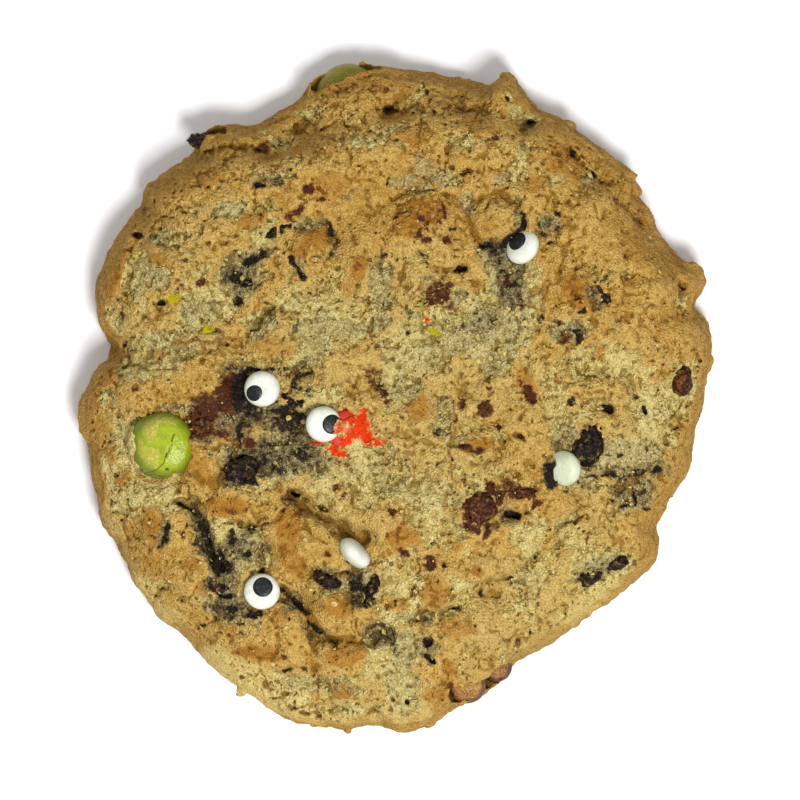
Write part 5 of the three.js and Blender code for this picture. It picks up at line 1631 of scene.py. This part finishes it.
@dataclass(frozen=True)
class ShellFinish:
    """A baked candy shell.

    Attributes:
        name: The material's name.
        base: Its colour.
        faded: Where it has faded or bears crumb.
        deep: Its deeper tint, in patches, also painted as shade in the grain's gaps.
        side: Its colour where it turns down, partly the shell's own deeper colour and partly painted shade.
        roughness: Of the shell.
        baked: How much of its face bears a skin of dough, from 0 to 1.
    """

    name: str
    base: Colour
    faded: Colour
    deep: Colour
    side: Colour
    roughness: float = 0.34
    baked: float = 0.0

    def material(self) -> bpy.types.Material:
        """Builds the shell's material."""
        s = Finish(self.name)
        light, gaps, height = s.grain(0.55 * MM)
        fine, pits, low = s.grain(0.3 * MM)
        patch = s.noise(2.4 * MM, 4, 0.65)
        colour = s.blend(s.ramp(patch, 0.42, 0.62), self.base, self.deep)
        colour = s.blend(s.torn("faded", patch, 0.8, 0.2), colour, self.faded)
        colour = s.blend(s.times(s.attribute("faded"), s.times(light, 0.6)), colour, FRINGE)
        # Painted shade in the grain's gaps.
        colour = s.blend(s.times(gaps, 0.25), colour, self.deep)
        # Darker where the shell turns down: partly its own colour, partly painted shade.
        colour = s.blend(s.times(s.attribute("side"), 0.9), colour, self.side)
        # Baked skin: painted shade in its pits, painted highlight on its grain tops.
        skin = s.blend(fine, s.blend(pits, SKIN, SKIN_GAP_SHADE), SKIN_LIGHT)
        baked = s.times(s.ramp(s.attribute("side"), 0.5, 0.15), self.baked)
        colour = s.blend(baked, colour, skin)
        colour = s.blend(s.attribute("crack"), colour, SHELL_GAP)
        rough = s.ramp(s.math("MAXIMUM", s.attribute("faded"), baked), 0.0, 0.8, self.roughness, 0.8)
        normal = s.bump(s.math("MULTIPLY_ADD", low, 0.5, s.times(height, 0.5)), 0.12 * MM)
        return s.close(colour, rough, normal, Specular_IOR_Level=0.45)


SHELLS = {
    "green_candy_left": ShellFinish("green_shell", srgb(154, 170, 6), srgb(170, 164, 60),
                                    srgb(136, 150, 6), srgb(96, 104, 8), 0.3),
    "green_candy_top": ShellFinish("green_shell_top", srgb(152, 164, 12), srgb(150, 134, 40),
                                   srgb(118, 132, 8), srgb(130, 116, 22), 0.42),
    "red_candy": ShellFinish("red_shell", srgb(204, 46, 8), srgb(196, 120, 64), srgb(176, 36, 6),
                             srgb(150, 40, 12), 0.55),
    "pink_candy_upper": ShellFinish("pink_shell", srgb(140, 70, 82), srgb(160, 110, 96),
                                    srgb(112, 48, 60), srgb(104, 44, 54), 0.4),
    "pink_candy_lower": ShellFinish("pink_shell_low", srgb(112, 54, 56), srgb(150, 100, 70),
                                    srgb(92, 40, 46), srgb(84, 36, 42), 0.4),
    "brown_candy": ShellFinish("brown_shell", srgb(150, 104, 46), srgb(178, 138, 72),
                               srgb(92, 48, 24), srgb(74, 34, 20), 0.5, 0.6),
    "brown_candy_right": ShellFinish("brown_shell_right", srgb(142, 96, 42), srgb(172, 132, 68),
                                     srgb(84, 42, 22), srgb(66, 28, 18), 0.5, 0.5),
}
SHELL_CRACKS = ovals(
    (-45.3, -14.6, 0.36, 0.3, 1, 20),
    ragged=0.1,
) + strokes(
    (0.13, 1, -43.5, -7.6, -44.3, -9.2, -45.2, -11.2, -46.4, -13.3, -47, -13.9),
    (0.08, 0.8, -46.9, -13.8, -48.7, -15.1, -50.4, -15.3),
    (0.1, 0.7, -51.4, -14.6, -49.8, -15.7, -46.4, -15.9),
    ragged=0.3,
)
SHELL_FADED = ovals(
    (-49, -6.4, 1.6, 2.4, 0.9, 10), (-48.6, -12, 1.9, 2.2, 1, 30), (-46.8, -4.4, 2.8, 1, 0.9, 5),
    (-50.6, -10.2, 0.8, 2, 0.7), (-44.4, -4.6, 1.4, 1, 0.8), (-9.6, 65.2, 2, 0.6, 0.9, 10),
    (-16, 61.8, 1.4, 1, 0.8, 40), (14.6, -57, 2.4, 1.6, 0.9), (-5.9, -6.4, 1.2, 1.4, 0.6),
)


@dataclass
class CandyShells:
    """The lentils: two green, a red one under an eye, two pink and two brown ones in the rim.

    Attributes:
        squareness: Of a lentil's outline.
        sides: Points round a lentil.
        rings: Rings of a lentil.
        groove: Depth of the crack in the left green shell, in millimetres.
        wrinkle: Height of the shells' unevenness, in millimetres.
    """

    squareness: float = 0.85
    sides: int = 180
    rings: int = 70
    groove: float = 0.3
    wrinkle: float = 0.13

    def build(self) -> list[tuple[bpy.types.Object, str, str]]:
        """Makes every shell; each comes with its slot and its node."""
        made = []
        for node, finish in SHELLS.items():
            slot = f"{node.split('_')[0]}_shell"
            made.append((self.shell(node, finish), slot, node))
        return made

    def shell(self, node: str, finish: ShellFinish) -> bpy.types.Object:
        """Makes one lentil, with its cracks, faded patches and wrinkles."""
        seat = Seat.of(node)
        points, faces = tablet(seat, self.squareness, self.sides, self.rings)
        away = points / np.maximum(np.linalg.norm(points, axis=1), 1e-6)[:, None]
        spots = seat.placed(points)
        upper = points[:, 2] > 0
        crack = covered(SHELL_CRACKS, spots[:, :2]) * upper
        faded = covered(SHELL_FADED, spots[:, :2]) * upper
        lift = self.wrinkle * layered(spots, 2.2, 66) + 0.10 * faded * noise(spots, 0.7, 67)
        lift -= self.groove * crack
        # side: where the shell turns down, which its material paints darker, partly as shade.
        side = smooth(0.62, 0.18, (away @ seat.turn.T)[:, 2])
        spots = seat.placed(points + away * lift[:, None])
        piece = link_mesh(f"shell_{node}", spots * MM, faces, finish.material())
        mark_points(piece.data, {"crack": crack, "faded": faded, "side": side})
        return piece


# ---------- chocolate


class Chocolate(Enum):
    """The two kinds of chocolate, by their slots."""

    DARK = "dark_chocolate"
    MILK = "milk_chocolate"


@dataclass(frozen=True)
class ChocolateFinish:
    """Baked chocolate: partly glossy, partly matt, with crumb stuck to it."""

    kind: Chocolate

    def material(self) -> bpy.types.Material:
        """Builds the chocolate's material."""
        s = Finish(self.kind.value)
        dark = self.kind is Chocolate.DARK
        light, gaps, height = s.grain(0.7 * MM)
        fine, _, low = s.grain(0.35 * MM)
        patch = s.noise(2.2 * MM, 3, 0.6)
        base, sheen = (srgb(30, 20, 14), srgb(60, 42, 30)) if dark else (srgb(74, 38, 18), srgb(116, 66, 30))
        deep, brown = (srgb(10, 6, 4), srgb(50, 28, 16)) if dark else (srgb(42, 20, 10), srgb(98, 54, 22))
        colour = s.blend(s.ramp(patch, 0.45, 0.65), base, brown)
        # Painted sheen on the grain's tops, painted shade in its gaps.
        colour = s.blend(s.times(light, 0.55), colour, sheen)
        colour = s.blend(gaps, colour, deep)
        crumb = s.times(s.ramp(s.noise(1.3 * MM, 3, 0.7), 0.56, 0.64), s.ramp(fine, 0.1, 0.6, 0.4, 1.0))
        colour = s.blend(crumb, colour, STUCK_CRUMB)
        rough = s.ramp(patch, 0.4, 0.65, 0.5, 0.75)
        normal = s.bump(s.math("MULTIPLY_ADD", low, 0.35, s.times(height, 0.65)), 0.4 * MM)
        return s.close(colour, rough, normal, Specular_IOR_Level=0.14)


@dataclass
class ChocolateChunks:
    """Broken chocolate that shows through the crust.

    Attributes:
        cell: Edge of a cell of each chunk's volume, in millimetres.
        margin: Room round a chunk in its volume.
        shrink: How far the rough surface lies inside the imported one, on average.
        lump: Height of the larger unevenness.
        ridge: Height of the fine ridges.
    """

    cell: float = 0.26
    margin: float = 1.2
    shrink: float = 0.30
    lump: float = 0.55
    ridge: float = 0.35

    def build(self) -> list[tuple[bpy.types.Object, str, str]]:
        """Makes every chunk; each comes with its slot and its node."""
        finishes = {kind: ChocolateFinish(kind).material() for kind in Chocolate}
        record = {row["node"]: row["material_slot"] for row in frame["record"]["subparts"]}
        made = []
        for node in sorted(name for name in frame["nodes"] if name.startswith("chunk")):
            kind = Chocolate(record[node])
            made.append((self.chunk(node, finishes[kind]), kind.value, node))
        return made

    def chunk(self, node: str, finish: bpy.types.Material) -> bpy.types.Object:
        """Makes one chunk from its node, with rough and ridged faces."""
        tree = solid_tree(node)
        low, high = node_box(node)
        axes = [np.arange(low[a] - self.margin, high[a] + self.margin, self.cell) for a in range(3)]
        spots = np.stack(np.meshgrid(*axes, indexing="ij"), -1).reshape(-1, 3)
        depth = np.array([self.inside(tree, Vector(spot)) for spot in spots], np.float32)
        depth += self.lump * layered(spots, 2.6, 300) - self.shrink
        depth += self.ridge * (0.5 - np.abs(noise(spots, 1.1, 310)) - np.abs(noise(spots, 0.7, 311)))
        points, faces = surface_of(depth.reshape([len(ax) for ax in axes]), axes)
        return link_mesh(f"rough_{node}", points * MM, faces, finish)

    @staticmethod
    def inside(tree: BVHTree, spot: Vector) -> float:
        """Measures how far inside a solid a place lies; negative outside."""
        near, normal, _, distance = tree.find_nearest(spot)
        return distance if (spot - near).dot(normal) < 0 else -distance


# ---------- loose crumbs


class Kind(Enum):
    """What lies loose on the crust."""

    GRAINS = "grains"
    LUMPS = "lumps"
    FLAKES = "flakes"


@dataclass(frozen=True)
class Scatter:
    """How one kind lies about.

    Attributes:
        kind: What it is.
        count: How many there would be if the whole crust were torn.
        smallest: Its least half size, in metres.
        largest: Its greatest half size, in metres.
        flatness: Its thickness as a share of its width.
        shape: Subdivisions of one: 1 gives 20 triangles, 2 gives 80.
        sunk: How far its middle lies above the crust, as a share of its half size.
        whole: How dense it lies where the crust holds, as a share of where it is torn.
        seed: Which scattering.
    """

    kind: Kind
    count: int
    smallest: float
    largest: float
    flatness: float
    shape: int
    sunk: float
    whole: float
    seed: int


SCATTERS = (
    Scatter(Kind.GRAINS, 5000, 0.08 * MM, 0.22 * MM, 0.7, 1, 0.0, 0.1, 5),
    Scatter(Kind.LUMPS, 260, 0.24 * MM, 0.5 * MM, 0.6, 2, -0.1, 0.05, 6),
    Scatter(Kind.FLAKES, 2600, 0.25 * MM, 0.7 * MM, 0.26, 1, 0.2, 0.25, 7),
)


@dataclass(frozen=True)
class CrumbFinish:
    """Colours of loose crumbs, from pale to browned."""

    pale: Colour = srgb(204, 186, 118)
    crumb: Colour = srgb(196, 178, 110)
    middle: Colour = srgb(182, 148, 74)
    browned: Colour = srgb(160, 112, 40)
    # Painted shade in the grain's gaps.
    gap: Colour = srgb(128, 92, 26)

    def material(self) -> bpy.types.Material:
        """Builds the crumbs' material, with a tone for each."""
        s = Finish("crumb")
        tone = s.attribute("tone")
        light, gaps, height = s.grain(0.35 * MM)
        colour = s.blend(s.ramp(tone, 0.0, 0.55), self.browned, self.middle)
        colour = s.blend(s.ramp(tone, 0.45, 1.0), colour, self.pale)
        colour = s.blend(s.times(s.attribute("bare"), 0.9), colour, self.crumb)
        # Pale fringe on the grain's tops, partly painted highlight; painted shade in its gaps.
        colour = s.blend(s.times(light, 0.35), colour, FRINGE)
        colour = s.blend(s.times(gaps, 0.6), colour, self.gap)
        return s.close(colour, 0.88, s.bump(height, 0.12 * MM), Specular_IOR_Level=0.14)


@dataclass
class LooseCrumbs:
    """Crumbs and flakes scattered over the crust by Geometry Nodes.

    Attributes:
        area: Area of the crust that the counts are for, in square metres.
        smallness: The more of this, the more of the crumbs are small.
        tilt: How far a crumb leans, in radians.
        dent_across: Width of the dents in the crumbs.
        dent: How far the crumbs are pushed out of shape.
    """

    area: float = 0.013
    smallness: float = 2.2
    tilt: float = 0.6
    dent_across: float = 0.5 * MM
    dent: float = 0.7 * MM

    def build(self, crust: bpy.types.Object) -> list[bpy.types.Object]:
        """Scatters every kind over the crust; one piece each."""
        finish = CrumbFinish().material()
        group = self.scattering(finish)
        made = []
        for scatter in SCATTERS:
            piece = bpy.data.objects.new(f"loose_{scatter.kind.value}", crust.data.copy())
            piece.data.name = piece.name
            bpy.context.scene.collection.objects.link(piece)
            change = piece.modifiers.new("scatter", "NODES")
            change.node_group = group
            values = {
                "Density": scatter.count / self.area, "Smallest": scatter.smallest,
                "Largest": scatter.largest, "Flatness": scatter.flatness, "Shape": scatter.shape,
                "Sunk": scatter.sunk, "Whole": scatter.whole, "Seed": scatter.seed,
            }
            for item in group.interface.items_tree:
                if item.name in values:
                    change[item.identifier] = values[item.name]
            bake_modifiers(piece)
            piece.data.materials.clear()
            piece.data.materials.append(finish)
            made.append(piece)
        return made

    def scattering(self, finish: bpy.types.Material) -> bpy.types.NodeTree:
        """Lays out the node tree that turns the crust into what lies on it."""
        numbers = ("Density", "Smallest", "Largest", "Flatness", "Sunk", "Whole")
        tree = new_tree("scatter_crumbs", "GeometryNodeTree", (
            ("INPUT", "Geometry", "Geometry"), *(("INPUT", "Float", name) for name in numbers),
            ("INPUT", "Int", "Shape"), ("INPUT", "Int", "Seed"), ("OUTPUT", "Geometry", "Geometry"),
        ))
        g = Nodes(tree)
        given = g.node("NodeGroupInput")

        def random(kind: str, low: object, high: object, extra: int) -> Socket:
            """Adds a random value for each crumb."""
            outputs = g.node("FunctionNodeRandomValue", data_type=kind)
            made = next(s for s in outputs if s.enabled)
            inputs = made.node.inputs
            bounds = [s for s in inputs if s.enabled and s.name in ("Min", "Max")]
            for value, socket in zip((low, high), bounds):
                g.put(value, socket)
            g.put(g.math("ADD", given["Seed"], extra), inputs["Seed"])
            return made

        def masked(name: str) -> Socket:
            """Reads a mask of the crust."""
            return g.node("GeometryNodeInputNamedAttribute", {"Name": name}, data_type="FLOAT")["Attribute"]

        share = g.math("ADD", masked("bare"), g.times(masked("frayed"), 0.8))
        share = g.math("MAXIMUM", share, g.times(given["Whole"], masked("upper")))
        clean = g.math("SUBTRACT", 1.0, g.math("MAXIMUM", masked("dark"), masked("soot")))
        spread = g.node("GeometryNodeDistributePointsOnFaces", {
            "Mesh": given["Geometry"], "Density": g.times(given["Density"], g.times(share, clean)),
            "Seed": given["Seed"],
        }, distribute_method="RANDOM")
        toned = g.node("GeometryNodeStoreNamedAttribute", {
            "Geometry": spread["Points"], "Name": "tone", "Value": random("FLOAT", 0.0, 1.0, 11),
        }, data_type="FLOAT", domain="POINT")["Geometry"]
        ball = g.node("GeometryNodeMeshIcoSphere", {"Radius": 1.0, "Subdivisions": given["Shape"]})["Mesh"]
        mostly_small = g.math("POWER", random("FLOAT", 0.0, 1.0, 12), self.smallness)
        range_of_sizes = g.math("SUBTRACT", given["Largest"], given["Smallest"])
        size = g.math("MULTIPLY_ADD", mostly_small, range_of_sizes, given["Smallest"])
        shape = g.node("ShaderNodeCombineXYZ", {
            "X": g.times(size, random("FLOAT", 0.8, 1.3, 13)),
            "Y": g.times(size, random("FLOAT", 0.6, 1.0, 14)),
            "Z": g.times(size, given["Flatness"]),
        })[0]
        most = (self.tilt, self.tilt, 3.1)
        least = tuple(-angle for angle in most)
        tilt = g.node("FunctionNodeEulerToRotation", {0: random("FLOAT_VECTOR", least, most, 15)})[0]
        feeds = {"Rotation": spread["Rotation"], "Rotate By": tilt}
        turned = g.node("FunctionNodeRotateRotation", feeds, rotation_space="LOCAL")[0]
        out = g.shifted("SCALE", {0: spread["Normal"], "Scale": g.times(size, given["Sunk"])})
        raised = g.node("GeometryNodeSetPosition", {"Geometry": toned, "Offset": out})[0]
        placed = g.node("GeometryNodeInstanceOnPoints", {
            "Points": raised, "Instance": ball, "Rotation": turned, "Scale": shape,
        })[0]
        real = g.node("GeometryNodeRealizeInstances", {"Geometry": placed})[0]
        rough = g.node("ShaderNodeTexNoise", {"Scale": 1 / self.dent_across, "Detail": 1.0})["Color"]
        centred = g.shifted("SUBTRACT", {0: rough, 1: (0.5, 0.5, 0.5)})
        moved = g.shifted("SCALE", {0: centred, "Scale": self.dent})
        dented = g.node("GeometryNodeSetPosition", {"Geometry": real, "Offset": moved})[0]
        painted = g.node("GeometryNodeSetMaterial", {"Geometry": dented, "Material": finish})[0]
        g.node("NodeGroupOutput", {"Geometry": painted})
        return tree


# ---------- studio


@dataclass
class Studio:
    """A plain pale floor, soft light and the camera that looks straight down.

    Attributes:
        picture_width: Width of the picture on the crust, in metres.
        aim: Where the picture's middle falls on the cookie.
        aim_height: The height at which the picture's width holds.
        distance: From that height up to the camera.
        sensor: Width of the camera's sensor, in millimetres.
        sky: Strength of the even light from all round.
        key_power: Of the main light, in watts.
        fill_power: Of the light that softens its shadows, in watts.
    """

    picture_width: float = 0.160
    aim: Place = (0.0009, -0.0006)
    aim_height: float = 0.012
    distance: float = 1.5
    sensor: float = 36.0
    sky: float = 0.42
    key_power: float = 10.4
    fill_power: float = 2.0

    def build(self) -> None:
        """Makes the floor, the lights and the camera."""
        corners = np.array([[-3, -3, 0], [3, -3, 0], [3, 3, 0], [-3, 3, 0]], float)
        plain = Finish("floor").close(srgb(244, 244, 246), 0.9)
        floor = link_mesh("floor", corners, np.array([[0, 1, 2, 3]]), plain)
        world = bpy.data.worlds.new("world")
        world.use_nodes = True
        even = world.node_tree.nodes["Background"].inputs
        even["Color"].default_value = (1, 1, 1, 1)
        even["Strength"].default_value = self.sky
        bpy.context.scene.world = world
        self.light("key", (0.20, -0.38, 0.90), 0.30, self.key_power)
        self.light("fill", (-0.4, 0.5, 0.9), 0.9, self.fill_power)
        camera = bpy.data.objects.new("camera", bpy.data.cameras.new("camera"))
        camera.data.sensor_width = self.sensor
        camera.data.lens = self.sensor * self.distance / self.picture_width
        camera.location = (*self.aim, self.aim_height + self.distance)
        bpy.context.scene.collection.objects.link(camera)
        bpy.context.scene.camera = camera
        bpy.context.scene.view_settings.view_transform = "Standard"

    def light(self, name: str, place: tuple[float, float, float], size: float, power: float) -> None:
        """Adds a square soft light that looks at the cookie."""
        lamp = bpy.data.lights.new(name, "AREA")
        lamp.size, lamp.energy = size, power
        made = bpy.data.objects.new(name, lamp)
        made.location = place
        made.rotation_euler = (-Vector(place)).to_track_quat("-Z", "Y").to_euler()
        bpy.context.scene.collection.objects.link(made)


# ---------- assembly


def main() -> None:
    """Builds the studio and every piece in order."""
    logging.basicConfig(level=logging.INFO, format="%(name)s %(message)s")
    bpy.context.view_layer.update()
    Studio().build()
    dough, crust = Dough().build()
    crumbs = LooseCrumbs().build(crust)
    for piece in (dough, crust):
        give(piece, "dough", DOUGH_NODE)
    for piece in crumbs:
        give(piece, "dough")
    for maker in (CandyEyes(), CandyShells(), ChocolateChunks()):
        for piece, slot, node in maker.build():
            give(piece, slot, node)


if __name__ == "__main__":
    main()
